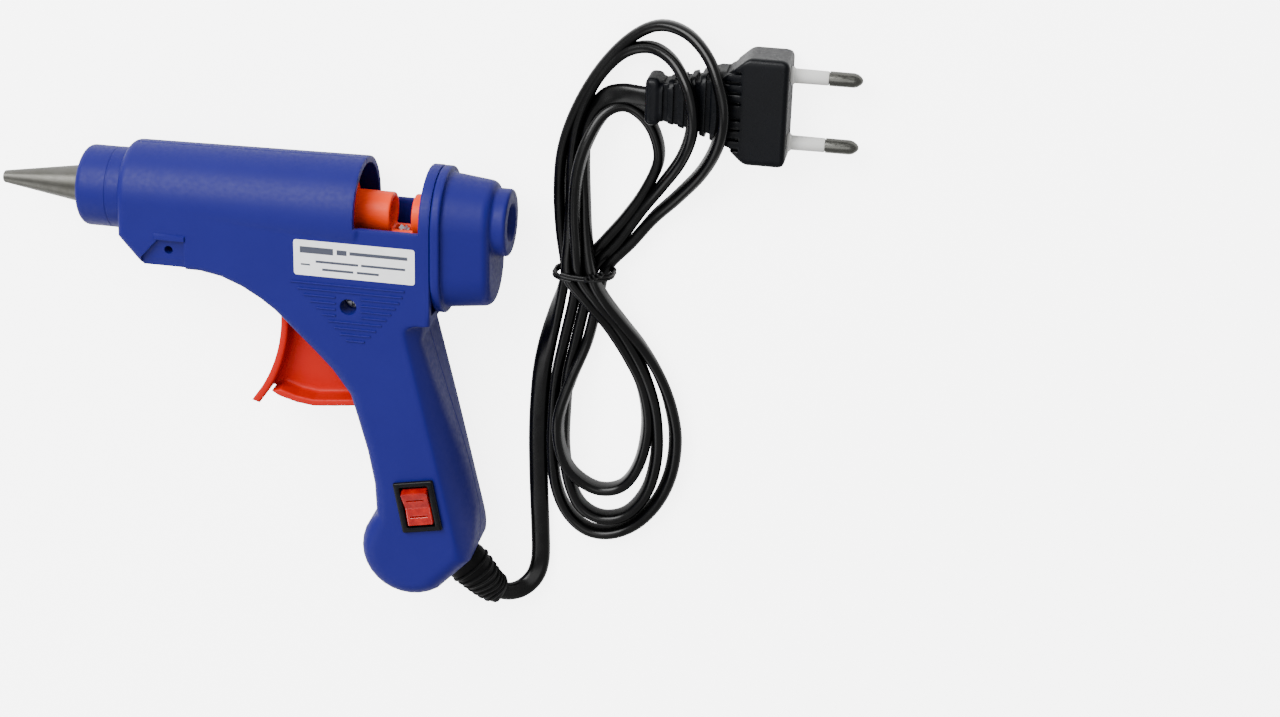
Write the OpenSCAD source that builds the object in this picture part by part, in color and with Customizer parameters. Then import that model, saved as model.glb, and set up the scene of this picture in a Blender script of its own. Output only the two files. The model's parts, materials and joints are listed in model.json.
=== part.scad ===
// Mini hot-melt glue gun for 7 mm sticks, lying on its right side with its lead tied in a hank.
// Working frame: x runs back from the nozzle's tip, y up from the barrel's axis,
// z out of the left side from the joint between the two shells.

/* [Lengths along the barrel] */
// Bare length of the nozzle in front of the nose ring
nozzle_l = 24.5; // [18:0.5:32]
// Length of the nose ring
nose_l = 13; // [11:0.5:16]
// Length of the closed part of the barrel
barrel_l = 67.8; // [60:0.2:84]
// Length of the open window in the top of the barrel
window_l = 17.9; // [15:0.1:22]
// Length of the hoop behind the window
hoop_l = 3.2; // [2.6:0.1:5]
// Length of the rear cap's flange
flange_l = 2.6; // [2:0.1:4]
// Length of the rear cap's drum
drum_l = 13; // [10:0.5:18]
// Length of the round boss behind the drum
boss_l = 4; // [3:0.5:7]

/* [Barrel and body] */
// Outside radius of the nose ring
nose_r = 11.3; // [10.9:0.1:12.5]
// Outside radius of the barrel at its front
barrel_front_r = 14; // [13.6:0.1:15]
// Outside radius of the barrel at the window
barrel_rear_r = 15; // [14.6:0.1:16.5]
// Half the thickness of the body and grip across the joint
half_t = 14.3; // [14:0.1:14.6]
// Thickness of the shell walls
wall = 2; // [1.6:0.1:2.4]
// Depth of the body under the barrel's axis at the front
keel_y = 17.5; // [16.5:0.5:19]

/* [Grip] */
// Length of the grip from the neck to the middle of its round foot
grip_l = 72.6; // [66:0.2:88]
// Lean of the grip from upright
grip_tilt = 13; // [11:1:15]
// Radius of the grip's round foot
foot_r = 14.3; // [13:0.1:16]

/* [Rear cap] */
// Radius of the rear cap's flange
flange_r = 14.3; // [14:0.1:14.6]
// Radius of the drum where it meets the flange
drum_r = 12.6; // [12:0.1:13.4]
// Distance between the centres of the drum's two round ends
drum_drop = 13; // [11:0.5:13.5]
// Radius of the rear boss
boss_r = 9.3; // [8:0.1:10]

/* [Glue path] */
// Radius of the path for a 7 mm glue stick
stick_r = 3.9; // [3.75:0.05:4.2]
// Radius of the nozzle's tip
tip_r = 1.75; // [1.5:0.05:2.2]
// Radius of the hole that the glue leaves by
outlet_r = 0.8; // [0.5:0.05:1.1]
// Radius of the melt chamber
chamber_r = 7.2; // [6.8:0.1:7.4]

/* [Trigger and carriage] */
// Radius of the trigger's pivot pin
pivot_r = 2; // [1.5:0.1:2.5]
// Half the width of the trigger's finger plate
trigger_hw = 8; // [6:0.2:9]
// Thickness of the trigger's finger plate
plate_t = 2.2; // [1.8:0.1:2.8]
// Height of the drive pin over the pivot
arm_l = 11.5; // [11:0.1:12]
// Radius of the carriage's drive pin
drive_r = 1.5; // [1.2:0.1:1.8]
// Outside radius of the carriage's collars
collar_r = 5.6; // [5.2:0.1:6.2]
// Radius of the return spring to the middle of its wire
spring_r = 8.2; // [8:0.1:8.4]
// Radius of the return spring's wire
spring_wire_r = 0.45; // [0.35:0.05:0.5]
// Turns of the return spring
spring_turns = 5; // [4:1:7]

/* [Switch] */
// Width of the switch's bezel across the grip
bezel_w = 11.7; // [11:0.1:13]
// Length of the switch's bezel along the grip
bezel_l = 15.6; // [14.6:0.1:17]

/* [Plug and lead] */
// Width of the lead's flat cord
cord_w = 5.6; // [5:0.1:6]
// Thickness of the lead's flat cord
cord_t = 3.2; // [2.8:0.1:3.4]
// Spacing of the plug's two pins
pin_pitch = 18.6; // [18.4:0.1:19]
// Radius of the plug's pins
pin_r = 2; // [1.9:0.05:2.2]
// Length of the plug's pins
pin_l = 19; // [18:0.5:20]

/* [Fits] */
// Clearance on radius of a turning or sliding fit
run = 0.05; // [0.02:0.01:0.1]
// Gap between pieces that only pass each other
gap = 0.3; // [0.2:0.05:0.5]

/* [Hidden] */
$fn = 48;
tiny = 0.01;

// Stations along the barrel
x_nose = nozzle_l;
x_body = x_nose + nose_l;
x_window = x_body + barrel_l;
x_hoop = x_window + window_l;
x_rear = x_hoop + hoop_l;
x_drum = x_rear + flange_l;
x_boss = x_drum + drum_l;
x_end = x_boss + boss_l;

// Grip and foot
neck = [x_rear - 23, -28];
down_grip = [sin(grip_tilt), -cos(grip_tilt)];
foot = neck + grip_l * down_grip;
foot_y = foot[1] - foot_r;
rest_y = (barrel_rear_r + foot_y) / 2;
half_box = barrel_rear_r;

// Trigger, its pivot and what it drives, set out from the window
pivot = [x_window - 13.3, -23];
swing = 24;
lean = swing / 2;
drive = pivot + arm_l * [tan(lean), 1];
x_carriage = x_window - 6.3;
x_collar_end = x_window + 7.7;
x_ring = x_hoop - 4.2;
tongue_y = -9.3;
screw = [x_window - 1.8, -23.6];

// Chamber stations
x_thread = x_nose + 2.3;
x_socket = x_thread + 6.2;
x_support = x_window - 25.3;
support_l = 3;
x_spigot = x_support + 8;
seal_l = 9.5;
heater_l = 26;
heater_w = 13;
heater_h = 8;
x_heater = x_support - 32;

// Switch and lead outlet on the grip
switch_at = foot + [3.3, 16.3];
switch_tilt = 11;
outlet_a = foot + foot_r * [cos(-55), sin(-55)];
outlet_b = foot + [17.5, -1.7];
outlet = (outlet_a + outlet_b) / 2;
outlet_angle = atan2(outlet_b[1] - outlet_a[1], outlet_b[0] - outlet_a[0]) - 90;

function unit(v) = v / norm(v);
function arc(c, r, a0, a1, n) = [
    for (i = [0:n]) c + r * [cos(a0 + (a1 - a0) * i / n), sin(a0 + (a1 - a0) * i / n)]
];
// Moves every side of an anticlockwise outline inwards by g
function inset(p, g) = [
    for (i = [0:len(p) - 1])
        let (
            a = unit(p[i] - p[(i + len(p) - 1) % len(p)]),
            b = unit(p[(i + 1) % len(p)] - p[i]),
            na = [-a[1], a[0]],
            nb = [-b[1], b[0]]
        )
        p[i] + (na + nb) * g / (1 + na * nb)
];

// Side outline of the body under the barrel and of the grip
outline = concat(
    [[x_body + 0.5, 0], [x_body + 0.5, -9.5], [x_body + 7, -keel_y], [x_body + 23.5, -keel_y]],
    [[x_rear - 59.4, -keel_y - 1.1], [x_rear - 53.4, -keel_y - 3.5], [x_rear - 48.4, -24]],
    [[x_rear - 44.4, -27.2], [x_rear - 28.4, -44], [x_rear - 23.4, -51], [x_rear - 21.4, -58]],
    [foot + [-12, 30.7], foot + [-10.1, 20.7], foot + [-9.6, 10.9]],
    arc(foot, foot_r, 146, 305, 14),
    [outlet_b, foot + [18.1, 4], foot + [17.8, 11.3], foot + [16, 21.8]],
    [[x_rear + 2.5, -55], [x_rear - 0.6, -44.5], [x_rear - 3.5, -34], [x_rear - 3, -29]],
    [[x_rear, -27.6], [x_rear, 0]]
);
// Opening in the shells' front that the trigger swings through
slot_hw = trigger_hw + 0.7;
slot = [
    [pivot[0] - 12.6, -20], [pivot[0] - 12.6, -32], [pivot[0] + 4, -58.9], [pivot[0] + 16, -58.9],
    [pivot[0] + 20, -52], [pivot[0] - 6, -20]
];

// Places the working frame so that the gun rests on the table at z = 0
module lying() translate([-x_end / 2, -rest_y, half_box]) children();
// Turns a shape drawn along z so that it runs back along x
module along_x(x) translate([x, 0, 0]) rotate([90, 0, 90]) children();
module disc_x(r, x0, x1) along_x(x0) cylinder(r = r, h = x1 - x0);
module lathe(points) rotate([90, 0, 90]) rotate_extrude() polygon(points);
module slab(z0, z1) translate([0, 0, z0]) linear_extrude(z1 - z0) children();
// A bar with two round ends, side by side in y, running back along x
module oval_x(r, x0, x1) {
    disc_x(r, x0, x1);
    translate([0, -drum_drop, 0]) disc_x(r, x0, x1);
    translate([x0, -drum_drop, -r]) cube([x1 - x0, drum_drop, 2 * r]);
}

// ---- Shells ----
module crowned(r, back) {
    translate([x_rear - 1 + back, -38, 0]) rotate([0, 0, grip_tilt]) translate([-r, 0, 0])
        rotate([90, 0, 0]) translate([0, 0, -14]) cylinder(r = r, h = grip_l + 40);
}
module body_mass(g) {
    t = half_t - g;
    rear = g > 0 ? x_rear + 1 : x_rear;
    lathe([
        [0, x_nose + 2.5 - g], [nose_r - 1.65 - g, x_nose + 2.5 - g], [nose_r - 1.65 - g, x_body + g],
        [nose_r + 0.1 - g, x_body + g], [barrel_front_r - g, x_body + 2.5 + g],
        [barrel_rear_r - g, x_window], [barrel_rear_r - g, x_window + 0.4],
        [half_t - g, x_window + 0.4], [half_t - g, rear], [0, rear]
    ]);
    intersection() {
        slab(-t, t) polygon(inset(outline, g));
        union() {
            translate([0, -30, -t]) cube([x_rear + 1, 32, 2 * t]);
            crowned(22 - g, 3 - g);
        }
    }
}
module shell_space() {
    body_mass(wall);
    oval_x(half_t - wall, x_rear - wall - 3, x_rear + 1);
    disc_x(nose_r - 1.65 - wall, x_nose, x_body + wall + 1);
    translate([x_window, -0.6, -30]) cube([window_l, 40, 60]);
    slab(-slot_hw, slot_hw) polygon(slot);
}
module ring_rib(x, r) {
    difference() {
        disc_x(barrel_front_r - wall + 0.9, x, x + 1.5);
        disc_x(r, x - 1, x + 3);
        translate([x - 1, -30, -7.5]) cube([4, 26, 15]);
    }
}
module shell_ribs() {
    ring_rib(x_support - 1.5 - gap / 2, 10.6);
    ring_rib(x_support + support_l + gap / 2, 10.6);
}
// Slanted pocket in the body's side that a wire stand clips into
pocket = [
    [x_body + 12, -9], [x_body + 19.5, -9], [x_body + 19.5, -keel_y - 1],
    [x_body + 6, -keel_y - 1], [x_body + 7, -14.6]
];
stand_at = [x_body + 14.5, -12.4];
stand_r = 1.2;
module stand_pocket(s) {
    mirror([0, 0, s < 0 ? 1 : 0]) {
        slab(half_t - 1.1, half_t + 1) polygon(pocket);
        translate([stand_at[0], stand_at[1], half_t - 6]) cylinder(r = stand_r, h = 8);
    }
}
module stand_boss(s) {
    mirror([0, 0, s < 0 ? 1 : 0]) {
        translate([stand_at[0], stand_at[1], half_t - 6.8]) cylinder(r = stand_r + 1.5, h = 5.5);
    }
}
module shell_half(s) {
    intersection() {
        union() {
            difference() {
                body_mass(0);
                shell_space();
            }
            intersection() {
                body_mass(0.6);
                union() {
                    shell_ribs();
                    stand_boss(s);
                    boss_posts(s);
                }
            }
            stand_lip(s);
        }
        translate([0, -150, s > 0 ? 0 : -50]) cube([200, 200, 50]);
    }
}
module stand_lip(s) mirror([0, 0, s < 0 ? 1 : 0]) {
    translate([x_body + 11.5, -8.6, half_t - 0.5]) cube([8.5, 1.3, 1]);
}
module boss_posts(s) {
    mirror([0, 0, s < 0 ? 1 : 0]) {
        translate([pivot[0], pivot[1], trigger_hw + gap]) cylinder(r = pivot_r + 2.4, h = 20);
        translate([screw[0], screw[1], 0.1]) cylinder(r = 3.6, h = 20);
    }
}
module pivot_bore() translate([pivot[0], pivot[1], 1 - half_t]) cylinder(r = pivot_r, h = 2 * half_t - 2);
module on_switch(z) {
    translate([switch_at[0], switch_at[1], z]) rotate([0, 0, switch_tilt]) children();
}
module left_shell() color("royalblue") lying() difference() {
    shell_half(1);
    stand_pocket(1);
    pivot_bore();
    translate([screw[0], screw[1], -1]) cylinder(r = 1.7, h = 30);
    translate([screw[0], screw[1], half_t - 7]) cylinder(r = 2.4, h = 10);
    on_switch(0) translate([-4.8, -6.8, 5]) cube([9.6, 13.6, 20]);
    outlet_cut();
}
module right_shell() color("royalblue") lying() difference() {
    union() {
        shell_half(-1);
        clamp_posts();
    }
    stand_pocket(-1);
    pivot_bore();
    translate([screw[0], screw[1], 2 - half_t]) cylinder(r = 1.25, h = 30);
    outlet_cut();
    clamp_holes();
}
module on_outlet(d) {
    translate([outlet[0], outlet[1], 0]) rotate([0, 0, outlet_angle]) translate([d, 0, 0]) children();
}
relief_w = 11.4;
relief_t = 9;
module outlet_cut() on_outlet(-7) translate([0, -relief_w / 2, -relief_t / 2]) cube([10, relief_w, relief_t]);

// ---- Clamp that holds the lead ----
post_gap = 6;
module each_post() {
    for (s = [-1, 1]) on_outlet(-12) translate([0, s * post_gap, 0]) children();
}
module clamp_posts() each_post() translate([0, 0, 1 - half_t]) cylinder(r = 2.4, h = half_t - 1 + cord_t / 2);
module clamp_holes() each_post() translate([0, 0, -8]) cylinder(r = 1.05, h = 12);
module cord_clamp() color("white") lying() difference() {
    on_outlet(-12) translate([-2.5, -post_gap - 2.6, cord_t / 2]) cube([5, 2 * post_gap + 5.2, 2.4]);
    each_post() translate([0, 0, 1]) cylinder(r = 1.4, h = 6);
}
module clamp_screws() color("silver") lying() each_post() {
    translate([0, 0, -7]) cylinder(r = 1.05, h = 8.5 + cord_t / 2 + 1);
    translate([0, 0, cord_t / 2 + 2.4]) cylinder(r = 2.2, h = 1.5);
}

// ---- Nose ring and rear cap ----
module nose_ring() color("royalblue") lying() difference() {
    lathe([
        [6.2, x_nose], [nose_r - 2, x_nose], [nose_r - 0.6, x_nose + 0.6], [nose_r, x_nose + 2],
        [nose_r, x_body], [6.2, x_body]
    ]);
    disc_x(nose_r - 1.6, x_nose + 2.2, x_body + 1);
}
guide_r = stick_r + 2;
module rear_cap() color("royalblue") lying() difference() {
    union() {
        difference() {
            union() {
                oval_x(flange_r, x_rear, x_drum);
                hull() {
                    oval_x(drum_r, x_drum - tiny, x_drum + 1);
                    oval_x(drum_r - 1.4, x_boss - 2, x_boss - 1.9);
                    oval_x(drum_r - 3, x_boss - 0.1, x_boss);
                }
                lathe([
                    [0, x_boss - 2], [boss_r, x_boss - 2], [boss_r, x_end - 1], [boss_r - 1, x_end], [0, x_end]
                ]);
                difference() {
                    oval_x(half_t - wall - run, x_rear - hoop_l + 0.1, x_rear + 1);
                    translate([x_rear - hoop_l - 1, -drum_drop - 20, -4.5]) cube([hoop_l + 1, 14, 9]);
                }
            }
            hull() {
                oval_x(half_t - 2 * wall, x_rear - hoop_l - 1, x_rear);
                oval_x(drum_r - 1.4 - wall, x_boss - 2.1, x_boss - 2);
            }
        }
        disc_x(guide_r, x_drum + 2, x_boss);
    }
    disc_x(stick_r, x_rear, x_end + 1);
    lathe([[0, x_end + 0.1], [stick_r + 1.3, x_end + 0.1], [stick_r, x_end - 3], [0, x_end - 3]]);
}

// ---- Heating parts ----
module nozzle() color("silver") lying() lathe([
    [outlet_r, 0], [tip_r, 0], [5.4, x_nose - 0.5], [5.9, x_nose - 0.5], [5.9, x_thread - 0.1],
    [4, x_thread - 0.1], [4, x_socket - 0.3], [2.6, x_socket - 0.3], [2.6, x_nose - 6], [outlet_r, 8]
]);
module melt_chamber() color("gainsboro") lying() difference() {
    union() {
        lathe([
            [0, x_thread], [6.2, x_thread], [6.2, x_thread + 15], [chamber_r, x_thread + 18],
            [chamber_r, x_support - 1], [5, x_support - 1], [5, x_spigot], [0, x_spigot]
        ]);
        translate([x_heater, -14, -heater_w / 2]) cube([heater_l, heater_h, heater_w]);
    }
    disc_x(4.05, x_thread - 1, x_socket);
    disc_x(stick_r - 0.1, x_socket - 1, x_spigot + 1);
    translate([x_heater - 1, -12.3, -5.5]) cube([heater_l + 2, 3.4, 11]);
}
module front_support() color("ivory") lying() difference() {
    disc_x(nose_r - 1.7 - wall, x_thread + 3, x_thread + 8);
    disc_x(6.25, x_thread, x_thread + 10);
}
module rear_support() color("ivory") lying() difference() {
    disc_x(barrel_front_r - wall - 0.1, x_support, x_support + support_l);
    disc_x(5.05, x_support - 1, x_support + support_l + 1);
}
module ptc_heater() color("dimgray") lying() {
    translate([x_heater + 1, -11.6, -5]) cube([heater_l - 2, 2, 10]);
}
module heater_insulation() color("peru") lying() difference() {
    translate([x_heater + 0.5, -12.2, -5.4]) cube([heater_l - 1, 3.2, 10.8]);
    translate([x_heater, -11.7, -5.05]) cube([heater_l, 2.2, 10.1]);
}
module heater_clip() color("lightsteelblue") lying() difference() {
    translate([x_heater + 9, -14.7, -chamber_r - 0.7]) cube([8, 17, 2 * chamber_r + 1.4]);
    translate([x_heater + 8, -14.05, -chamber_r - 0.05]) cube([10, 18, 2 * chamber_r + 0.1]);
}
x_seal = x_spigot - 4;
module stick_seal() color("indianred") lying() difference() {
    disc_x(6.5, x_seal, x_seal + seal_l);
    disc_x(5.02, x_seal - 1, x_spigot + tiny);
    disc_x(stick_r - 0.3, x_seal, x_seal + seal_l + 1);
}
module seal_clamp() color("silver") lying() difference() {
    disc_x(7.1, x_seal + 1, x_seal + 3);
    disc_x(6.52, x_seal, x_seal + 4);
}

// ---- Spring, a helix of eight-sided wire ----
spring_x0 = x_support + support_l + 0.05;
spring_x1 = x_carriage - 0.05;
spring_steps = 16 * spring_turns;
spring_side = 8;
spring_points = [
    for (i = [0:spring_steps])
        let (
            a = 360 * spring_turns * i / spring_steps,
            x = spring_x0 + spring_wire_r
                + (spring_x1 - spring_x0 - 2 * spring_wire_r) * i / spring_steps
        )
        for (k = [0:spring_side - 1])
            let (b = 360 * k / spring_side, r = spring_r + spring_wire_r * cos(b))
            [x + spring_wire_r * sin(b), r * cos(a), r * sin(a)]
];
module tube_mesh(points, sides, rings, turn) {
    skin = [
        for (i = [0:rings - 2]) for (k = [0:sides - 1])
            let (a = i * sides + k, b = i * sides + (k + 1) % sides)
            turn ? [a, b, b + sides, a + sides] : [a, a + sides, b + sides, b]
    ];
    first = [for (k = [0:sides - 1]) turn ? sides - 1 - k : k];
    last = [for (k = [0:sides - 1]) (rings - 1) * sides + (turn ? k : sides - 1 - k)];
    polyhedron(points, concat(skin, [first, last]), convexity = 10);
}
module return_spring() color("silver") lying() {
    tube_mesh(spring_points, spring_side, spring_steps + 1, false);
}

// ---- Carriage and its jaw ----
jaw_at = [x_ring - 3.2, -6.6];
jaw_hw = 1.5;
module carriage() color("darkorange") lying() difference() {
    union() {
        disc_x(9.2, x_carriage, x_carriage + 2);
        disc_x(collar_r, x_carriage, x_collar_end);
        disc_x(collar_r, x_ring, x_hoop - 0.2);
        translate([x_carriage + 1, -8.6, -3.5]) cube([x_hoop - 1.2 - x_carriage, 4.4, 7]);
        translate([drive[0] - 2.6, tongue_y - 4.2, -3]) cube([x_carriage + 4 - drive[0] + 2.6, 4.2, 6]);
        translate([x_carriage, tongue_y - 4.2, -3]) cube([4, 6, 6]);
    }
    disc_x(stick_r, x_carriage - 1, x_hoop + 1);
    translate([x_collar_end + 0.4, -9, -jaw_hw - gap]) cube([x_ring - x_collar_end - 0.8, 8, 2 * (jaw_hw + gap)]);
    translate([drive[0], drive[1], -5]) cylinder(r = drive_r, h = 10);
    translate([jaw_at[0], jaw_at[1], -5]) cylinder(r = 0.8, h = 10);
}
module drive_pin() color("silver") lying() {
    translate([drive[0], drive[1], -6.9]) cylinder(r = drive_r, h = 13.8);
}
module stick_jaw() color("gray") lying() difference() {
    slab(-jaw_hw, jaw_hw) {
        translate(jaw_at) circle(r = 1.9);
        translate(jaw_at) polygon([[-1.9, 0], [1.9, 0], [1.6, 2.3], [0.9, 1.9], [0.2, 2.6], [-0.5, 2.1], [-1.2, 2.7]]);
    }
    translate([jaw_at[0], jaw_at[1], -5]) cylinder(r = 0.8 + run, h = 10);
}
module jaw_pin() color("silver") lying() {
    translate([jaw_at[0], jaw_at[1], -3.5]) cylinder(r = 0.8, h = 7);
}

// ---- Trigger ----
plate_r = 43.8;
plate_c = pivot + [-9.9 - plate_r, -8];
arm_in = 3.3;
arm_out = 6.5;
finger_plate = concat(
    [plate_c + [plate_r, 9], plate_c + [plate_r + plate_t, 9]],
    arc(plate_c, plate_r + plate_t, 0, -37, 10),
    arc(plate_c, plate_r, -38, 0, 10)
);
web_side = concat(
    [plate_c + [plate_r + 1, 8.5]],
    arc(plate_c, plate_r + 1, 0, -31, 6),
    [pivot + [-5, -34], pivot + [3, -34.3], pivot + [12.5, -32.6], pivot + [13.3, -30.5], pivot + [4.1, 0]]
);
flange_side = [
    pivot + [-13.2, -31.5], pivot + [-11.2, -32.8], pivot + [-6, -34.3], pivot + [-1, -34.9],
    pivot + [5, -34.3], pivot + [12.4, -33.4], pivot + [12.8, -31.3], pivot + [5, -32.2],
    pivot + [-1, -32.8], pivot + [-6, -32.1], pivot + [-10.5, -30.6]
];
module trigger() color("orangered") lying() difference() {
    union() {
        slab(-trigger_hw, trigger_hw) polygon(finger_plate);
        slab(-trigger_hw, trigger_hw) polygon(flange_side);
        slab(-2.3, 2.3) polygon(web_side);
        translate([pivot[0], pivot[1], -trigger_hw]) cylinder(r = pivot_r + 2.2, h = 2 * trigger_hw);
        for (s = [0, 1]) mirror([0, 0, s]) slab(arm_in, arm_out) translate(pivot) rotate(-lean)
            translate([-2.7, 0]) square([5.4, arm_l + 3.2]);
    }
    translate([pivot[0], pivot[1], -20]) cylinder(r = pivot_r + run, h = 40);
    for (s = [0, 1]) mirror([0, 0, s]) slab(arm_in - 1, arm_out + 1) translate(pivot) rotate(-lean) {
        translate([-drive_r - 0.12, arm_l - 0.2]) square([2 * drive_r + 0.24, 6]);
        translate([0, arm_l - 0.2]) circle(r = drive_r + 0.12);
    }
}
module trigger_pin() color("silver") lying() {
    translate([pivot[0], pivot[1], 2.2 - half_t]) cylinder(r = pivot_r, h = 2 * half_t - 4.4);
}

// ---- Switch, screw and label on the left side ----
rocker_w = 7.6;
rocker_l = 11.2;
bezel_t = 1.3;
module switch_body() color("black") lying() on_switch(half_t) difference() {
    union() {
        translate([-bezel_w / 2, -bezel_l / 2, 0]) cube([bezel_w, bezel_l, bezel_t]);
        translate([-4.75, -6.75, -10]) cube([9.5, 13.5, 10 + tiny]);
    }
    translate([-rocker_w / 2 - gap, -rocker_l / 2 - 0.7, -5.5]) cube([rocker_w + 2 * gap, rocker_l + 1.4, 20]);
    translate([-10, 0, -1.2]) rotate([0, 90, 0]) cylinder(r = 0.8, h = 20);
}
rocker_rest = 7;
module switch_rocker() color("red") lying() on_switch(half_t - 1.2) rotate([rocker_rest, 0, 0]) {
    translate([-rocker_w / 2, 0, 0]) rotate([0, 90, 0]) linear_extrude(rocker_w) polygon([
        [2.8, -3], [-0.8, -rocker_l / 2], [-3.3, -rocker_l / 2 + 0.5], [-2.2, 0],
        [-3.3, rocker_l / 2 - 0.5], [-0.8, rocker_l / 2], [2.8, 3]
    ]);
    translate([-4.6, 0, 0]) rotate([0, 90, 0]) cylinder(r = 0.8 - run, h = 9.2);
}
module each_tab() {
    for (d = [-4.2, 4.2]) on_switch(half_t - 10) translate([0, d, 0]) children();
}
module switch_terminals() color("goldenrod") lying() each_tab() {
    translate([-2, -0.4, -5.5]) cube([4, 0.8, 5.5]);
}
module wire_sleeves() color("whitesmoke") lying() each_tab() difference() {
    translate([-2.7, -1.2, -6.5]) cube([5.4, 2.4, 5]);
    translate([-2.02, -0.42, -5.52]) cube([4.04, 0.84, 6]);
}
module body_screw() color("silver") lying() translate([screw[0], screw[1], 0]) {
    translate([0, 0, half_t - 7]) cylinder(r = 2.2, h = 1.8);
    translate([0, 0, 3 - half_t]) cylinder(r = 1.25, h = 2 * half_t - 9.9);
}
label_at = [x_rear - 38, -15.2];
label_w = 34;
label_h = 10.3;
label_t = 0.15;
module label() color("white") lying() {
    translate([label_at[0], label_at[1], half_t]) cube([label_w, label_h, label_t]);
}

// ---- Wires inside the gun, from the clamp to the switch and the heater ----
function tangent(r, i) = unit(r[min(i + 1, len(r) - 1)] - r[max(i - 1, 0)]);
function side_of(t) = unit(cross(t, abs(t[2]) > 0.98 ? [0, 1, 0] : [0, 0, 1]));
// Rings of an oval section, w across and t high, at each point of a route
function rings(route, w, t, sides) = [
    for (i = [0:len(route) - 1])
        let (d = tangent(route, i), s = side_of(d), u = cross(s, d))
        for (k = [0:sides - 1])
            let (a = 360 * (k + 0.5) / sides)
            route[i] + s * w / 2 * cos(a) + u * t / 2 * sin(a)
];
module swept(route, w, t, sides) tube_mesh(rings(route, w, t, sides), sides, len(route), true);
wire_d = 1.8;
core_pitch = 2.4;
core_out = [-cos(outlet_angle), -sin(outlet_angle)];
core_side = [-sin(outlet_angle), cos(outlet_angle)];
live_start = outlet + 16.8 * core_out + core_pitch / 2 * core_side;
neutral_start = outlet + 16.8 * core_out - core_pitch / 2 * core_side;
wire_back = x_rear - 7.4;
tab_low = switch_at + 4.2 * [sin(switch_tilt), -cos(switch_tilt)];
tab_high = switch_at - 4.2 * [sin(switch_tilt), -cos(switch_tilt)];
sleeve_z = half_t - 16.6;
wire_side = 9.3;
function at(p, z) = [p[0], p[1], z];
function up_grip(z) = [
    [x_rear - 0.6, -62, z], [x_rear - 4.8, -50, z], [x_rear - 7.4, -38, z],
    [wire_back, -30, z], [wire_back - 0.6, -23, z], [wire_back - 4, -17.4, z],
    [x_window + 4, -16.4, z], [x_window - 12, -16.4, z], [x_support - 1, -16.2, z * 0.95],
    [x_heater + heater_l + 3, -13.2, z * 0.6], [x_heater + heater_l - 0.2, -10.6, z * 0.36]
];
module live_wire() color("saddlebrown") lying() swept([
    at(live_start, 0), at(live_start + 2 * core_out, -0.6), at(live_start + [-1, 4.2], -3.2),
    at(tab_low + [-1.8, -0.9], -4.4), at(tab_low, sleeve_z)
], wire_d, wire_d, 8);
module heater_wire() color("saddlebrown") lying() swept(concat(
    [at(tab_high, sleeve_z), at(tab_high + [1.2, 1.6], -4.4), at(tab_high + [4, 5], -3.6)],
    [[foot[0] + 9, foot[1] + 29, 2.6]],
    up_grip(wire_side)
), wire_d, wire_d, 8);
module neutral_wire() color("steelblue") lying() swept(concat(
    [at(neutral_start, 0), at(neutral_start + 2 * core_out, -0.8), at(neutral_start + [-2, 4.6], -4.6)],
    [[foot[0] - 0.5, foot[1] + 14, -8], [foot[0] + 4, foot[1] + 21, -wire_side]],
    up_grip(-wire_side)
), wire_d, wire_d, 8);

// ---- Lead: strain relief, flat cord, hank, tie and plug, as they lie on the table ----
// Points of the lead from the strain relief to the hank, on the table at z = 0
cord_start = [70, -69.5, 9];
lead_route = [
    cord_start, [72, -70.3, 7.4], [74.5, -70.4, 5.6], [77, -69.2, 4], [79, -66.8, 2.7], [80, -63.4, 1.9],
    [80.1, -59, 1.7], [79.8, -51, 1.7], [79.3, -41, 1.7], [78.9, -31, 1.7], [78.8, -21, 1.7],
    [79.1, -11, 1.7], [80.1, -1, 1.7], [81.8, 8, 1.7], [84.2, 16, 1.7]
];
// Points of the lead from the hank to the plug
plug_route = [
    [89.8, 73, 1.7], [90.6, 76.5, 1.8], [92, 79.5, 2], [94, 82, 2.4], [96.5, 83.8, 3],
    [99.5, 84.9, 4], [102.8, 85.4, 5.2], [106.2, 85.5, 6.4], [109, 85.5, 6.85]
];
hank_h = 9;
hank_top = [
    [85.5, 33], [82.6, 45], [82.3, 56], [84, 68], [88, 80], [94, 92], [101, 101], [108, 105], [115, 106],
    [121, 103.5], [126, 98.5], [129.3, 91], [130, 83], [127.5, 74], [121, 63], [111, 52], [103.5, 41], [100.5, 32]
];
hank_foot = [
    [100.5, 32], [103.5, 18], [111, 6], [117.5, -5], [120.8, -16], [119.5, -26], [114.5, -38], [107, -46.5],
    [97.5, -50], [89, -46], [83.6, -36], [82, -24], [82, -11], [83.3, 0], [84.8, 10], [85.3, 22], [85.5, 33]
];
hank_eye = [[96, 46], [92.5, 58], [92, 70], [96, 80], [103, 83.5], [109, 80], [111.3, 72], [110, 64], [104, 54], [99, 48]];
hank_hole = [[94.8, 10], [90, -5], [89, -18], [92, -28], [99, -34.5], [107, -34], [109.3, -22], [107, -10], [102, 2]];
plug_at = [146.5, 85.5, 6.85];

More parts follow.
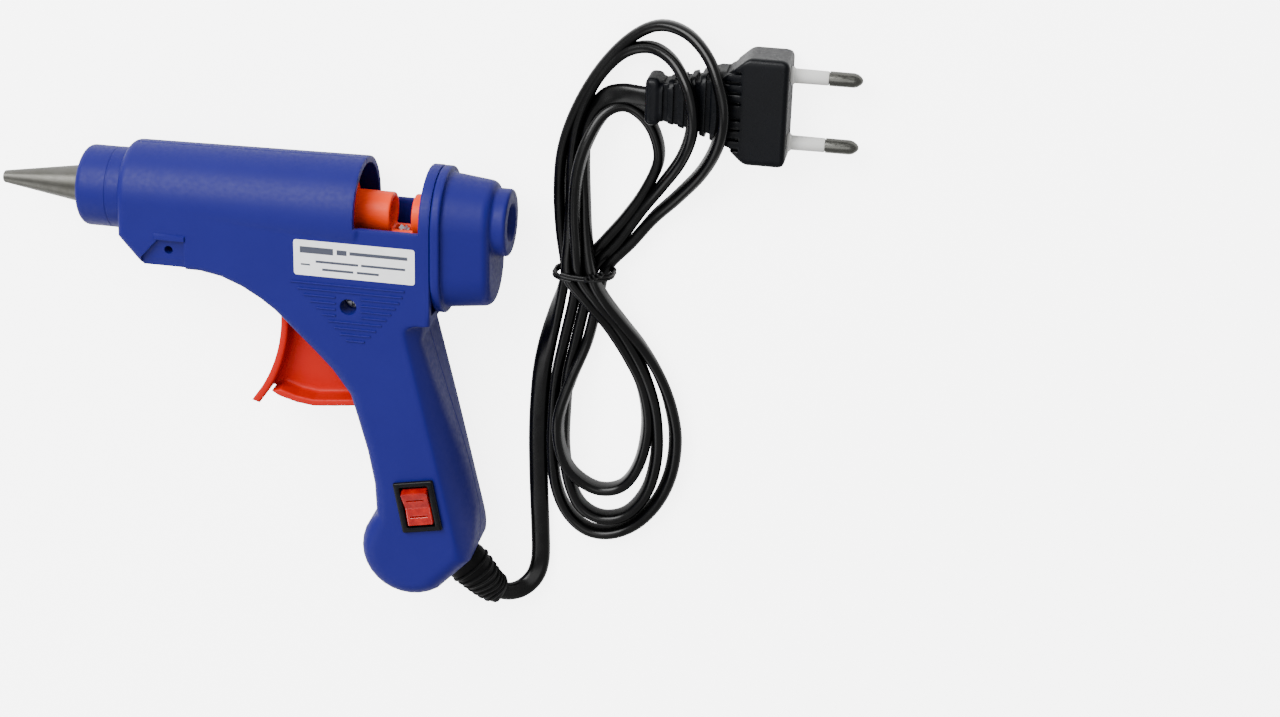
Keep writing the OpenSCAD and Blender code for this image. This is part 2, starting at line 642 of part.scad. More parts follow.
module cord_tail() color("black") lying() {
    on_outlet(-17) translate([0, -cord_w / 2, -cord_t / 2]) cube([14.8, cord_w, cord_t]);
}
module strain_relief() color("black") {
    hull() {
        lying() on_outlet(-2) relief_slice(relief_w - 0.1, relief_t - 0.1, 0.5);
        lying() on_outlet(0.6) relief_slice(relief_w - 0.1, relief_t - 0.1, 0.5);
    }
    hull() {
        lying() on_outlet(0.6) relief_slice(13, 10.2, 0.5);
        lying() on_outlet(2.4) relief_slice(12.6, 10, 0.5);
        translate(cord_start) rotate([0, 0, -25]) rotate([0, 24, 0]) translate([-0.6, 0, 0]) relief_slice(9, 6.4, 0.6);
    }
}
module relief_slice(w, t, l) {
    for (s = [-1, 1]) translate([0, s * (w - t) / 2, 0]) rotate([0, 90, 0]) cylinder(d = t, h = l, $fn = 20);
}
module cord_lead() color("black") swept(lead_route, cord_w, cord_t, 8);
module cord_plug_end() color("black") swept(plug_route, cord_w, cord_t, 8);
module cord_hank() color("black") slab(0, hank_h) {
    difference() {
        polygon(hank_top);
        polygon(hank_eye);
        translate([plug_at[0] - 38.8, plug_at[1] - 10.8]) square([40, 21.6]);
    }
    difference() {
        polygon(hank_foot);
        polygon(hank_hole);
    }
}
module cord_tie() color("dimgray") difference() {
    translate([83.9, 31, 0]) cube([18.2, 3, hank_h + 1.2]);
    translate([85, 30, -1]) cube([16, 5, hank_h + 1]);
}
module plug_body() color("black") translate(plug_at) {
    hull() {
        translate([-12, -14.8, -6.85]) cube([12, 29.6, 13.7]);
        translate([-19, -10.5, -6.2]) cube([0.5, 21, 12.4]);
    }
    hull() {
        translate([-19, -10.2, -5.8]) cube([0.5, 20.4, 11.6]);
        translate([-34.5, -5.6, -4.4]) cube([0.5, 11.2, 8.8]);
    }
    translate([-38.5, -6.6, -4.9]) cube([4.2, 13.2, 9.8]);
}
module each_pin() for (s = [-1, 1]) translate(plug_at + [0, s * pin_pitch / 2, 0]) children();
module plug_pin_sleeves() color("lightgray") each_pin() difference() {
    disc_x(pin_r - 0.3, 0, pin_l / 2 + 0.5);
    disc_x(pin_r - 0.6, -1, pin_l);
}
module plug_pins() color("silver") each_pin() {
    disc_x(pin_r - 0.62, 0, pin_l - 4);
    lathe([
        [0, pin_l / 2 + 0.55], [pin_r, pin_l / 2 + 0.55], [pin_r, pin_l - 1.2],
        [pin_r * 0.6, pin_l - 0.2], [0, pin_l]
    ]);
}

left_shell();
right_shell();
nose_ring();
rear_cap();
nozzle();
melt_chamber();
front_support();
rear_support();
ptc_heater();
heater_insulation();
heater_clip();
stick_seal();
seal_clamp();
return_spring();
carriage();
drive_pin();
stick_jaw();
jaw_pin();
trigger();
trigger_pin();
switch_body();
switch_rocker();
switch_terminals();
body_screw();
label();
cord_clamp();
clamp_screws();
live_wire();
neutral_wire();
heater_wire();
wire_sleeves();
strain_relief();
cord_tail();
cord_lead();
cord_hank();
cord_tie();
cord_plug_end();
plug_body();
plug_pin_sleeves();
plug_pins();
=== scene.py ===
import json
import math

import bmesh
import bpy
import numpy as np
from mathutils import Matrix, Vector

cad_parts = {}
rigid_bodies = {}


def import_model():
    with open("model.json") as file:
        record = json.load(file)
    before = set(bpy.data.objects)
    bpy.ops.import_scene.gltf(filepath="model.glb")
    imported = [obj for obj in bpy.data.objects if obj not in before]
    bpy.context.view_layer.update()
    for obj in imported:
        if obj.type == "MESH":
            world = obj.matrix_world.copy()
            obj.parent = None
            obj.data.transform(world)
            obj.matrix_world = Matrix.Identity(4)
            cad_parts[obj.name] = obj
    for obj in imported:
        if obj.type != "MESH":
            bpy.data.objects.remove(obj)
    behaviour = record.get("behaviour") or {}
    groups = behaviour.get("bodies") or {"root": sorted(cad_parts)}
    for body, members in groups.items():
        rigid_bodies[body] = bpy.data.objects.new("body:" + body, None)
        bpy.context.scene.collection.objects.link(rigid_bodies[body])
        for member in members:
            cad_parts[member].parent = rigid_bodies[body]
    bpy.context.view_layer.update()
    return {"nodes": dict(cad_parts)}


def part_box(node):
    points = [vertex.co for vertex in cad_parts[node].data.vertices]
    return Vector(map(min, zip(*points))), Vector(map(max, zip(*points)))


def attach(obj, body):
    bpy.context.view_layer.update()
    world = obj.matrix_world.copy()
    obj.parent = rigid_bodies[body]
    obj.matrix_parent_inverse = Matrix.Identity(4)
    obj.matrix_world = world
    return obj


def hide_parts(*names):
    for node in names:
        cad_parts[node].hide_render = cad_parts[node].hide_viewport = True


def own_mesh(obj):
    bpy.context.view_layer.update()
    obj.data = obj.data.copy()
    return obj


bl_info = {
    "name": "Hot-melt glue gun",
    "version": (1, 0, 0),
    "blender": (4, 5, 0),
    "location": "View3D > Sidebar > Glue Gun",
    "description": "Builds a small hot-melt glue gun with its lead and plug",
    "category": "Add Mesh",
}

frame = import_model()

MM = 0.001
# The working frame has x back from the nozzle's tip, y up from the barrel's axis and z out of the
# left side, in millimetres. This is where its origin lies in the row frame.
GUN_ORIGIN = np.array([-73.0, 49.02, 15.0])

# ---------------------------------------------------------------- sizes and colours


def length(name, description, default):
    return bpy.props.FloatProperty(
        name=name, description=description, default=default * MM, min=0.0,
        unit="LENGTH", subtype="DISTANCE", precision=5,
    )


def colour(name, description, default):
    return bpy.props.FloatVectorProperty(
        name=name, description=description, default=default, size=3,
        min=0.0, max=1.0, subtype="COLOR",
    )


class GunSizes(bpy.types.PropertyGroup):
    barrel_front: length("Barrel Front Radius", "Radius of the barrel behind the nose ring", 14.0)
    barrel_rear: length("Barrel Rear Radius", "Radius of the barrel at the window", 15.0)
    half_width: length("Half Width", "Half the thickness of the body and grip", 14.3)
    wall: length("Wall", "Thickness of the shell walls", 2.0)
    seam: length("Seam", "Half the gap between the two shells", 0.03)
    crown: length("Grip Crown", "Radius of the rounded back of the grip", 22.0)
    rib_pitch: length("Rib Pitch", "Distance between the ribs under the label", 1.8)
    rib_height: length("Rib Height", "Height of the ribs under the label", 0.4)
    ring_radius: length("Nose Ring Radius", "Outside radius of the nose ring", 11.3)
    collar: length("Collar Radius", "Outside radius of the stick feeder's collars", 5.6)
    plate: length("Trigger Plate Half Width", "Half the width of the finger plate", 8.0)


class LeadSizes(bpy.types.PropertyGroup):
    width: length("Cord Width", "Width of the flat cord", 5.6)
    thickness: length("Cord Thickness", "Thickness of the flat cord", 3.1)
    tie: length("Tie Radius", "Radius of the wire that ties the hank", 0.42)
    pin_radius: length("Pin Radius", "Radius of the plug's pins", 2.0)
    pin_pitch: length("Pin Spacing", "Distance between the plug's two pins", 18.6)


class GunColours(bpy.types.PropertyGroup):
    shell: colour("Shell", "Blue plastic of the shells", (0.0070, 0.0064, 0.128))
    trigger: colour("Trigger", "Orange-red plastic of the trigger", (0.46, 0.0040, 0.0003))
    feeder: colour("Feeder", "Orange plastic of the stick feeder", (0.86, 0.043, 0.0006))
    cord: colour("Cord", "Black plastic of the lead", (0.0008, 0.0008, 0.0009))
    plug: colour("Plug", "Black plastic of the plug", (0.0012, 0.0015, 0.0024))
    rocker: colour("Rocker", "Red plastic of the switch", (0.36, 0.0012, 0.0008))


def gun_mm(context, name):
    return getattr(context.scene.gun_sizes, name) / MM


def lead_mm(context, name):
    return getattr(context.scene.lead_sizes, name) / MM


# ---------------------------------------------------------------- shapes as distances, in mm


def ease(t):
    """A soft step from 0 to 1."""
    t = np.clip(t, 0, 1)
    return t * t * (3 - 2 * t)


def join(a, b, k):
    """The union of two solids with a fillet of about k."""
    h = np.clip(k - np.abs(a - b), 0, None) / k
    return np.minimum(a, b) - h * h * k / 4


def keep(a, b, k):
    """What two solids share, with its edge rounded by about k."""
    return -join(-a, -b, k)


def cut(a, b, k=0.02):
    """The first solid without the second."""
    return keep(a, -b, k)


def both(a, b, r):
    """What two solids share, with its edge rounded to radius r."""
    p, q = a + r, b + r
    return np.minimum(np.maximum(p, q), 0) + np.hypot(np.maximum(p, 0), np.maximum(q, 0)) - r


def outline_distance(x, y, points):
    """Distance to a closed outline, negative inside."""
    points = np.asarray(points, float)
    near, inside = None, None
    for (ax, ay), (bx, by) in zip(points, np.roll(points, -1, 0)):
        ex, ey = bx - ax, by - ay
        if ex * ex + ey * ey < 1e-12:
            continue
        wx, wy = x - ax, y - ay
        t = np.clip((wx * ex + wy * ey) / (ex * ex + ey * ey), 0, 1)
        d = (wx - ex * t) ** 2 + (wy - ey * t) ** 2
        near = d if near is None else np.minimum(near, d)
        over = ((ay > y) != (by > y)) & (wx < wy * ex / (ey if ey else 1e-12))
        inside = over if inside is None else inside ^ over
    return np.where(inside, -1.0, 1.0) * np.sqrt(near)


def block(x, y, z, low, high, r):
    """A box with its edges rounded to radius r."""
    q = [np.abs(v - (a + b) / 2) - (b - a) / 2 + r for v, a, b in zip((x, y, z), low, high)]
    out = np.sqrt(sum(np.maximum(v, 0) ** 2 for v in q))
    return out + np.minimum(np.maximum(np.maximum(q[0], q[1]), q[2]), 0) - r


def rod(x, y, z, centre, r, z0, z1, edge=0.02):
    """A round rod along z."""
    return both(np.hypot(x - centre[0], y - centre[1]) - r, np.maximum(z0 - z, z - z1), edge)


def bore(y, z, r):
    """A round rod or hole along x, on the barrel's axis."""
    return np.hypot(y, z) - r


def arc(centre, r, start, end, steps):
    """Points along an arc, from one angle in degrees to another."""
    a = np.radians(np.linspace(start, end, steps + 1))
    return [(centre[0] + r * math.cos(t), centre[1] + r * math.sin(t)) for t in a]


def flowing(points, steps):
    """A smooth open line through points."""
    p = np.asarray(points, float)
    p = np.vstack([2 * p[0] - p[1], p, 2 * p[-1] - p[-2]])
    out = []
    for a, b, c, d in zip(p, p[1:], p[2:], p[3:]):
        for t in np.arange(steps) / steps:
            out.append(
                0.5 * (2 * b + (c - a) * t + (2 * a - 5 * b + 4 * c - d) * t * t
                       + (3 * b - a - 3 * c + d) * t ** 3)
            )
    return np.array(out + [p[-2]])


# ---------------------------------------------------------------- meshes

# Grid cells for the surfaces: the two shells, middle-sized parts, the switch and the screw
CELL_SHELL, CELL_PART, CELL_HOUSING, CELL_ROCKER, CELL_SCREW = 0.62, 0.42, 0.3, 0.28, 0.2
HOLD = 0.04  # how strongly a surface point is held to the middle of its cell's crossings
STRAY = 0.05  # how far a surface point may leave its cell, in cells


def slopes(solid, p, e=0.002):
    """Unit directions in which a solid's distance grows at each point."""
    g = np.stack([
        solid(*(p + e * np.eye(3)[i]).T) - solid(*(p - e * np.eye(3)[i]).T) for i in range(3)
    ], 1)
    return g / np.maximum(np.linalg.norm(g, axis=1), 1e-9)[:, None]


def crossing(t0, t1, v0, v1, margin):
    """Where a straight line between two values passes zero, kept off the ends by a margin."""
    return t0 + (t1 - t0) * np.clip(v0 / np.where(v0 == v1, 1, v0 - v1), margin, 1 - margin)


def surface(solid, low, high, cell):
    """Corners and four-sided faces of a solid's surface. Each cell of a grid that the surface
    crosses gets the point that fits the surface's slopes there best, which keeps edges crisp."""
    low, high = np.array(low, float), np.array(high, float)
    count = np.ceil((high - low) / cell).astype(int) + 1
    axes = [low[i] + cell * np.arange(count[i]) for i in range(3)]
    field = np.array(np.broadcast_to(
        solid(axes[0][:, None, None], axes[1][None, :, None], axes[2][None, None, :]), count
    ))
    inside = field < 0
    points, owners, faces = [], [], []
    for axis in range(3):
        step = np.eye(3, dtype=int)[axis]
        a, b = [slice(None)] * 3, [slice(None)] * 3
        a[axis], b[axis] = slice(0, -1), slice(1, None)
        at = np.argwhere(inside[tuple(a)] != inside[tuple(b)])
        u, w = (axis + 1) % 3, (axis + 2) % 3
        for other in (u, w):
            at = at[(at[:, other] >= 1) & (at[:, other] <= count[other] - 2)]
        v0, v1 = field[tuple(at.T)], field[tuple((at + step).T)]
        start, leaving = low + cell * at, v0 < 0
        t0, t1 = np.zeros(len(at)), np.ones(len(at))
        for _ in range(3):
            t = crossing(t0, t1, v0, v1, 0.02)
            v = solid(*(start + cell * t[:, None] * step).T)
            same = (v < 0) == (v0 < 0)
            t0, v0 = np.where(same, t, t0), np.where(same, v, v0)
            t1, v1 = np.where(same, t1, t), np.where(same, v1, v)
        t = crossing(t0, t1, v0, v1, 0.0)
        points.append(start + cell * t[:, None] * step)
        ids = []
        for du, dw in ((0, 0), (-1, 0), (-1, -1), (0, -1)):
            c = at.copy()
            c[:, u] += du
            c[:, w] += dw
            ids.append((c[:, 0] * count[1] + c[:, 1]) * count[2] + c[:, 2])
        quad = np.stack(ids, 1)
        owners.append(quad)
        faces.append(np.where(leaving[:, None], quad, quad[:, ::-1]))
    p, quads = np.vstack(points), np.vstack(owners)
    n = slopes(solid, p)
    cells, index = np.unique(quads, return_inverse=True)
    index = index.reshape(quads.shape).ravel()
    p4, n4, many = np.repeat(p, 4, 0), np.repeat(n, 4, 0), len(cells)

    def total(values):
        return np.bincount(index, values, many)

    number = total(np.ones(len(index)))
    centre = np.stack([total(p4[:, i]) for i in range(3)], 1) / number[:, None]
    off = np.einsum("ij,ij->i", n4, p4 - centre[index])
    a = np.empty((many, 3, 3))
    b = np.empty((many, 3))
    for i in range(3):
        b[:, i] = total(n4[:, i] * off)
        for j in range(3):
            a[:, i, j] = total(n4[:, i] * n4[:, j])
    a += HOLD * np.eye(3)
    best = centre + np.linalg.solve(a, b[:, :, None])[:, :, 0]
    corner = np.stack([
        cells // (count[1] * count[2]), cells // count[2] % count[1], cells % count[2],
    ], 1)
    least = low + cell * corner
    best = np.clip(best, least - STRAY * cell, least + (1 + STRAY) * cell)
    for _ in range(2):
        step_back = np.clip(solid(*best.T), -cell / 3, cell / 3)
        best -= step_back[:, None] * slopes(solid, best)
    return best, np.searchsorted(cells, np.vstack(faces))


def piece(name, points, faces, body, material, slot, crease=35):
    """A finished mesh object in the row frame. Points are in millimetres in the row frame."""
    mesh = bpy.data.meshes.new(name)
    mesh.from_pydata((np.asarray(points) * MM).tolist(), [], [list(map(int, f)) for f in faces])
    return finish_mesh(name, mesh, body, material, crease)


def finish_mesh(name, mesh, body, material, crease=35):
    """A mesh made into a piece: smooth up to its creases, painted, and riding on its body."""
    mesh.name = name
    mesh.validate()
    mesh.polygons.foreach_set("use_smooth", np.ones(len(mesh.polygons), bool))
    mesh.set_sharp_from_angle(angle=math.radians(crease))
    mesh.materials.clear()
    mesh.materials.append(material)
    obj = bpy.data.objects.new(name, mesh)
    bpy.context.scene.collection.objects.link(obj)
    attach(obj, body)
    return obj


def outwards(points, faces):
    """The same faces, all turned outwards."""
    bm = bmesh.new()
    corners = [bm.verts.new(p) for p in points]
    for f in faces:
        bm.faces.new([corners[i] for i in f])
    bmesh.ops.recalc_face_normals(bm, faces=bm.faces)
    bm.verts.index_update()
    out = [[v.index for v in f.verts] for f in bm.faces]
    bm.free()
    return np.array(points), out


def rounded(points, radii, steps):
    """A closed outline with its corners rounded to the given radii."""
    p, out = np.asarray(points, float), []
    for i, r in enumerate(radii):
        a, b, c = p[i - 1], p[i], p[(i + 1) % len(p)]
        u, v = (a - b) / np.linalg.norm(a - b), (c - b) / np.linalg.norm(c - b)
        if r <= 0:
            out.append(b)
            continue
        half = math.acos(np.clip(u @ v, -1, 1)) / 2
        most = 0.49 * min(np.linalg.norm(a - b), np.linalg.norm(c - b))
        back = min(r / math.tan(half), most)
        start, end = b + u * back, b + v * back
        for t in np.linspace(0, 1, steps + 1):
            out.append((1 - t) ** 2 * start + 2 * t * (1 - t) * b + t * t * end)
    return np.array(out)


def belts(rows, sides, closed=False):
    """Four-sided faces between neighbouring rows of corners, and from the last to the first."""
    return [
        (
            i * sides + k, i * sides + (k + 1) % sides,
            (i + 1) % rows * sides + (k + 1) % sides, (i + 1) % rows * sides + k,
        )
        for i in range(rows if closed else rows - 1) for k in range(sides)
    ]


def turned(profile, sides):
    """A turned part from a closed profile of (x, radius) that stays off its axis."""
    profile = np.asarray(profile, float)
    a = 2 * math.pi * np.arange(sides) / sides
    points = np.stack([
        np.repeat(profile[:, 0], sides), np.outer(profile[:, 1], np.cos(a)).ravel(),
        np.outer(profile[:, 1], np.sin(a)).ravel(),
    ], 1)
    return outwards(points, belts(len(profile), sides, closed=True))


def swept(rings):
    """A closed tube through rings of corners, with flat ends."""
    rings = np.asarray(rings, float)
    n, sides = rings.shape[:2]
    ends = [tuple(range(sides))[::-1], tuple((n - 1) * sides + k for k in range(sides))]
    return outwards(rings.reshape(-1, 3), belts(n, sides) + ends)


def gathered(parts):
    """Several closed surfaces as one mesh."""
    points, faces, n = [], [], 0
    for corners, sides in parts:
        points.append(corners)
        faces += [[i + n for i in face] for face in sides]
        n += len(corners)
    return np.vstack(points), faces


def to_row(points):
    """Points of the working frame, in the row frame."""
    return np.asarray(points) + GUN_ORIGIN


def grown(name, solid, low, high, cell, body, material, slot, place=to_row, crease=35):
    """A piece from a solid given as a distance."""
    points, faces = surface(solid, low, high, cell)
    return piece(name, place(points), faces, body, material, slot, crease)


# ---------------------------------------------------------------- geometry nodes


class Tree:
    """A geometry node tree whose inputs are named sizes."""

    def __init__(self, name, sizes):
        self.group = bpy.data.node_groups.new(name, "GeometryNodeTree")
        face = self.group.interface
        face.new_socket("Geometry", in_out="INPUT", socket_type="NodeSocketGeometry")
        self.ids = {}
        for label, (kind, value) in sizes.items():
            made = face.new_socket(label, in_out="INPUT", socket_type=kind)
            if value is not None:
                made.default_value = value
            self.ids[label] = made.identifier
        face.new_socket("Geometry", in_out="OUTPUT", socket_type="NodeSocketGeometry")
        self.source = self.group.nodes.new("NodeGroupInput")
        self.sink = self.group.nodes.new("NodeGroupOutput")

    def add(self, kind, _set=None, **links):
        node = self.group.nodes.new(kind)
        for key, value in (_set or {}).items():
            setattr(node, key, value)
        for key, value in links.items():
            key = key.replace("_", " ")
            target = node.inputs[int(key[1:])] if key[1:].isdigit() else node.inputs[key]
            if isinstance(value, bpy.types.NodeSocket):
                self.group.links.new(value, target)
            else:
                target.default_value = value
        return node

    def size(self, label):
        return self.source.outputs[label]

    def end(self, geometry):
        real = self.add("GeometryNodeRealizeInstances", Geometry=geometry)
        painted = self.add(
            "GeometryNodeSetMaterial", Geometry=real.outputs[0], Material=self.size("Material")
        )
        self.group.links.new(painted.outputs[0], self.sink.inputs[0])

    def run(self, seed_mesh, values):
        """The tree's result on a mesh, as a plain mesh."""
        carrier = bpy.data.objects.new("carrier", seed_mesh)
        bpy.context.scene.collection.objects.link(carrier)
        modifier = carrier.modifiers.new("nodes", "NODES")
        modifier.node_group = self.group
        for label, value in values.items():
            modifier[self.ids[label]] = value
        view = bpy.context.evaluated_depsgraph_get()
        view.update()
        mesh = bpy.data.meshes.new_from_object(carrier.evaluated_get(view))
        carrier.modifiers.remove(modifier)
        bpy.data.objects.remove(carrier)
        return mesh


def seeds(name, places, reach, turn=None):
    """A mesh of loose points that carry the size and turn of what is set on each."""
    mesh = bpy.data.meshes.new(name)
    mesh.from_pydata([[v * MM for v in p] for p in places], [], [])
    turn = np.zeros((len(places), 3)) if turn is None else np.asarray(turn, float)
    for label, values in (("reach", np.asarray(reach, float) * MM), ("turn", turn)):
        made = mesh.attributes.new(label, "FLOAT_VECTOR", "POINT")
        made.data.foreach_set("vector", values.ravel())
    return mesh


def bars_tree():
    """Half-round bars, one on each point, as long, wide and high as the point says."""
    tree = Tree("bars", {
        "Sides": ("NodeSocketInt", 12), "Material": ("NodeSocketMaterial", None),
    })
    line = tree.add("GeometryNodeCurvePrimitiveLine", Start=(-0.5, 0, 0), End=(0.5, 0, 0))
    ring = tree.add("GeometryNodeCurvePrimitiveCircle", Resolution=tree.size("Sides"), Radius=0.5)
    taper = tree.add("GeometryNodeResampleCurve", Curve=line.outputs[0], Count=9)
    where = tree.add("GeometryNodeSplineParameter")
    mid = tree.add("ShaderNodeMath", {"operation": "SUBTRACT"}, _0=where.outputs["Factor"], _1=0.5)
    far = tree.add("ShaderNodeMath", {"operation": "ABSOLUTE"}, _0=mid.outputs[0])
    near_end = tree.add("ShaderNodeMapRange", Value=far.outputs[0])
    for key, value in (("From Min", 0.36), ("From Max", 0.5), ("To Min", 1.0), ("To Max", 0.35)):
        near_end.inputs[key].default_value = value
    shaped = tree.add(
        "GeometryNodeSetCurveRadius", Curve=taper.outputs[0], Radius=near_end.outputs[0]
    )
    bar = tree.add("GeometryNodeCurveToMesh", Curve=shaped.outputs[0])
    tree.group.links.new(ring.outputs[0], bar.inputs["Profile Curve"])
    bar.inputs["Fill Caps"].default_value = True
    tree_on_points(tree, bar.outputs[0])
    return tree


def hoops_tree():
    """Rounded square hoops, one round each point, across the point's own x direction."""
    tree = Tree("hoops", {
        "Wire": ("NodeSocketFloat", 0.0004), "Squareness": ("NodeSocketFloat", 0.42),
        "Material": ("NodeSocketMaterial", None),
    })
    square = tree.add("GeometryNodeCurvePrimitiveQuadrilateral", Width=1.0, Height=1.0)
    filleted = tree.add(
        "GeometryNodeFilletCurve", {"mode": "POLY"}, Curve=square.outputs[0], Count=8,
        Radius=tree.size("Squareness"),
    )
    stood = tree.add(
        "GeometryNodeTransform", Geometry=filleted.outputs[0], Rotation=(0, math.pi / 2, 0)
    )
    spread = tree.add(
        "GeometryNodeInstanceOnPoints", Points=tree.source.outputs[0], Instance=stood.outputs[0]
    )
    tree_turn(tree, spread)
    real = tree.add("GeometryNodeRealizeInstances", Geometry=spread.outputs[0])
    ring = tree.add("GeometryNodeCurvePrimitiveCircle", Resolution=10, Radius=tree.size("Wire"))
    tube = tree.add("GeometryNodeCurveToMesh", Curve=real.outputs[0])
    tree.group.links.new(ring.outputs[0], tube.inputs["Profile Curve"])
    tree.end(tube.outputs[0])
    return tree


def tree_turn(tree, spread):
    """Turns and sizes each instance as its own point says."""
    vector = {"data_type": "FLOAT_VECTOR"}
    reach = tree.add("GeometryNodeInputNamedAttribute", vector, Name="reach")
    turn = tree.add("GeometryNodeInputNamedAttribute", vector, Name="turn")
    way = tree.add("FunctionNodeEulerToRotation", Euler=turn.outputs[0])
    tree.group.links.new(way.outputs[0], spread.inputs["Rotation"])
    tree.group.links.new(reach.outputs[0], spread.inputs["Scale"])


def tree_on_points(tree, shape):
    """Ends a tree with the shape set on each of its points."""
    spread = tree.add(
        "GeometryNodeInstanceOnPoints", Points=tree.source.outputs[0], Instance=shape
    )
    tree_turn(tree, spread)
    tree.end(spread.outputs[0])


def coil_tree():
    """A coil spring along x, from a spiral and a round wire."""
    tree = Tree("coil", {
        "Turns": ("NodeSocketFloat", 5.0), "Radius": ("NodeSocketFloat", 0.0082),
        "Length": ("NodeSocketFloat", 0.0159), "Wire": ("NodeSocketFloat", 0.00045),
        "Place": ("NodeSocketVector", None), "Material": ("NodeSocketMaterial", None),
    })
    helix = tree.add("GeometryNodeCurveSpiral", Resolution=40)
    for key, label in (
        ("Rotations", "Turns"), ("Start Radius", "Radius"), ("End Radius", "Radius"),
        ("Height", "Length"),
    ):
        tree.group.links.new(tree.size(label), helix.inputs[key])
    ring = tree.add("GeometryNodeCurvePrimitiveCircle", Resolution=10, Radius=tree.size("Wire"))
    wire = tree.add("GeometryNodeCurveToMesh", Curve=helix.outputs[0])
    tree.group.links.new(ring.outputs[0], wire.inputs["Profile Curve"])
    wire.inputs["Fill Caps"].default_value = True
    laid = tree.add(
        "GeometryNodeTransform", Geometry=wire.outputs[0], Rotation=(0, math.pi / 2, 0),
        Translation=tree.size("Place"),
    )
    tree.end(laid.outputs[0])
    return tree


# ---------------------------------------------------------------- materials


class Paint:
    """A node material on object coordinates."""

    def __init__(self, name, base, rough, metallic=0.0, coat=0.0, specular=0.5):
        self.material = bpy.data.materials.new(name)
        self.material.use_nodes = True
        self.nodes, self.links = self.material.node_tree.nodes, self.material.node_tree.links
        self.shader = self.nodes["Principled BSDF"]
        self.base = base
        self.put("Base Color", (*base, 1))
        self.put("Roughness", rough)
        self.put("Metallic", metallic)
        self.put("Coat Weight", coat)
        self.put("Specular IOR Level", specular)
        self.where = self.nodes.new("ShaderNodeTexCoord").outputs["Object"]
        self.height = None

    def put(self, socket, value):
        self.shader.inputs[socket].default_value = value

    def noise(self, per_metre, detail=3.0, stretch=None):
        where = self.where
        if stretch is not None:
            mapping = self.nodes.new("ShaderNodeMapping")
            mapping.inputs["Scale"].default_value = stretch
            self.links.new(where, mapping.inputs["Vector"])
            where = mapping.outputs[0]
        node = self.nodes.new("ShaderNodeTexNoise")
        node.inputs["Scale"].default_value = per_metre
        node.inputs["Detail"].default_value = detail
        self.links.new(where, node.inputs["Vector"])
        return node.outputs["Fac"]

    def spread(self, value, low, high, start=0.3, stop=0.7):
        node = self.nodes.new("ShaderNodeMapRange")
        for key, v in zip(("From Min", "From Max", "To Min", "To Max"), (start, stop, low, high)):
            node.inputs[key].default_value = v
        self.links.new(value, node.inputs["Value"])
        return node.outputs[0]

    def tint(self, value, other, low=0.0, high=1.0, start=0.35, stop=0.65):
        """Mixes the colour towards another one where value is high."""
        node = self.nodes.new("ShaderNodeMix")
        node.data_type = "RGBA"
        self.links.new(self.spread(value, low, high, start, stop), node.inputs["Factor"])
        linked = self.shader.inputs["Base Color"].links
        if linked:
            self.links.new(linked[0].from_socket, node.inputs[6])
        else:
            node.inputs[6].default_value = (*self.base, 1)
        node.inputs[7].default_value = (*other, 1)
        self.links.new(node.outputs[2], self.shader.inputs["Base Color"])
        return self

    def rough(self, value, low, high, start=0.3, stop=0.7):
        self.links.new(self.spread(value, low, high, start, stop), self.shader.inputs["Roughness"])
        return self

    def bump(self, value, depth_mm, strength=1.0):
        node = self.nodes.new("ShaderNodeBump")
        node.inputs["Distance"].default_value = depth_mm * MM
        node.inputs["Strength"].default_value = strength
        self.links.new(value, node.inputs["Height"])
        if self.height is not None:
            self.links.new(self.height, node.inputs["Normal"])
        self.height = node.outputs[0]
        self.links.new(self.height, self.shader.inputs["Normal"])
        return self


def moulded(name, base, pale, rough):
    """Injection-moulded plastic: a fine spark-eroded grain, slow waves and faint flow marks."""
    paint = Paint(name, base, rough, specular=0.16)
    paint.put("Subsurface Weight", 0.03)
    paint.put("Subsurface Radius", (0.0006, 0.0008, 0.0016))
    paint.tint(paint.noise(90, 4), pale, 0.0, 0.16)
    paint.rough(paint.noise(900, 3), rough - 0.05, rough + 0.09)
    paint.bump(paint.noise(5200, 2), 0.012, 0.5)
    paint.bump(paint.noise(110, 2), 0.06, 0.35)
    return paint.material


def metal(name, base, rough, brush, depth, stain=None):
    """Bare metal with turning marks: brush is how they are stretched along x, y and z."""
    paint = Paint(name, base, rough, metallic=1.0)
    marks = paint.noise(1.0, 4, brush)
    paint.rough(marks, rough - 0.08, rough + 0.14)
    paint.bump(marks, depth, 0.6)
    paint.tint(paint.noise(160, 4), stain or tuple(0.75 * v for v in base), 0.0, 0.5)
    return paint.material


def rubbery(name, base, rough, gloss=0.26):
    """Soft black plastic with a faint mottle and a fine skin."""
    paint = Paint(name, base, rough, specular=gloss)
    paint.rough(paint.noise(240, 3), rough - 0.04, rough + 0.07)
    paint.tint(paint.noise(120, 3), tuple(2.0 * v for v in base), 0.0, 0.6)
    paint.bump(paint.noise(3200, 2), 0.005, 0.4)
    return paint.material


def clear_red(name, base):
    """Tinted clear plastic over a pale lamp chamber."""
    paint = Paint(name, base, 0.12, coat=0.4)
    paint.put("Transmission Weight", 0.25)
    paint.put("Subsurface Weight", 0.35)
    paint.put("Subsurface Radius", (0.003, 0.0006, 0.0004))
    paint.tint(paint.noise(420, 3), (0.60, 0.012, 0.005), 0.0, 0.8)
    paint.bump(paint.noise(1500, 2), 0.02, 0.3)
    return paint.material


def paper(name, base):
    """Coated paper with a faint tooth."""
    paint = Paint(name, base, 0.42)
    paint.tint(paint.noise(500, 4), tuple(0.9 * v for v in base), 0.0, 0.5)
    paint.bump(paint.noise(1800, 3), 0.008, 0.5)
    return paint.material


def ceramic(name, base):
    """Dull fired clay with a sandy grain."""
    paint = Paint(name, base, 0.6)
    paint.tint(paint.noise(600, 5), tuple(0.7 * v for v in base), 0.0, 0.7)
    paint.bump(paint.noise(2400, 4), 0.02, 0.6)
    return paint.material


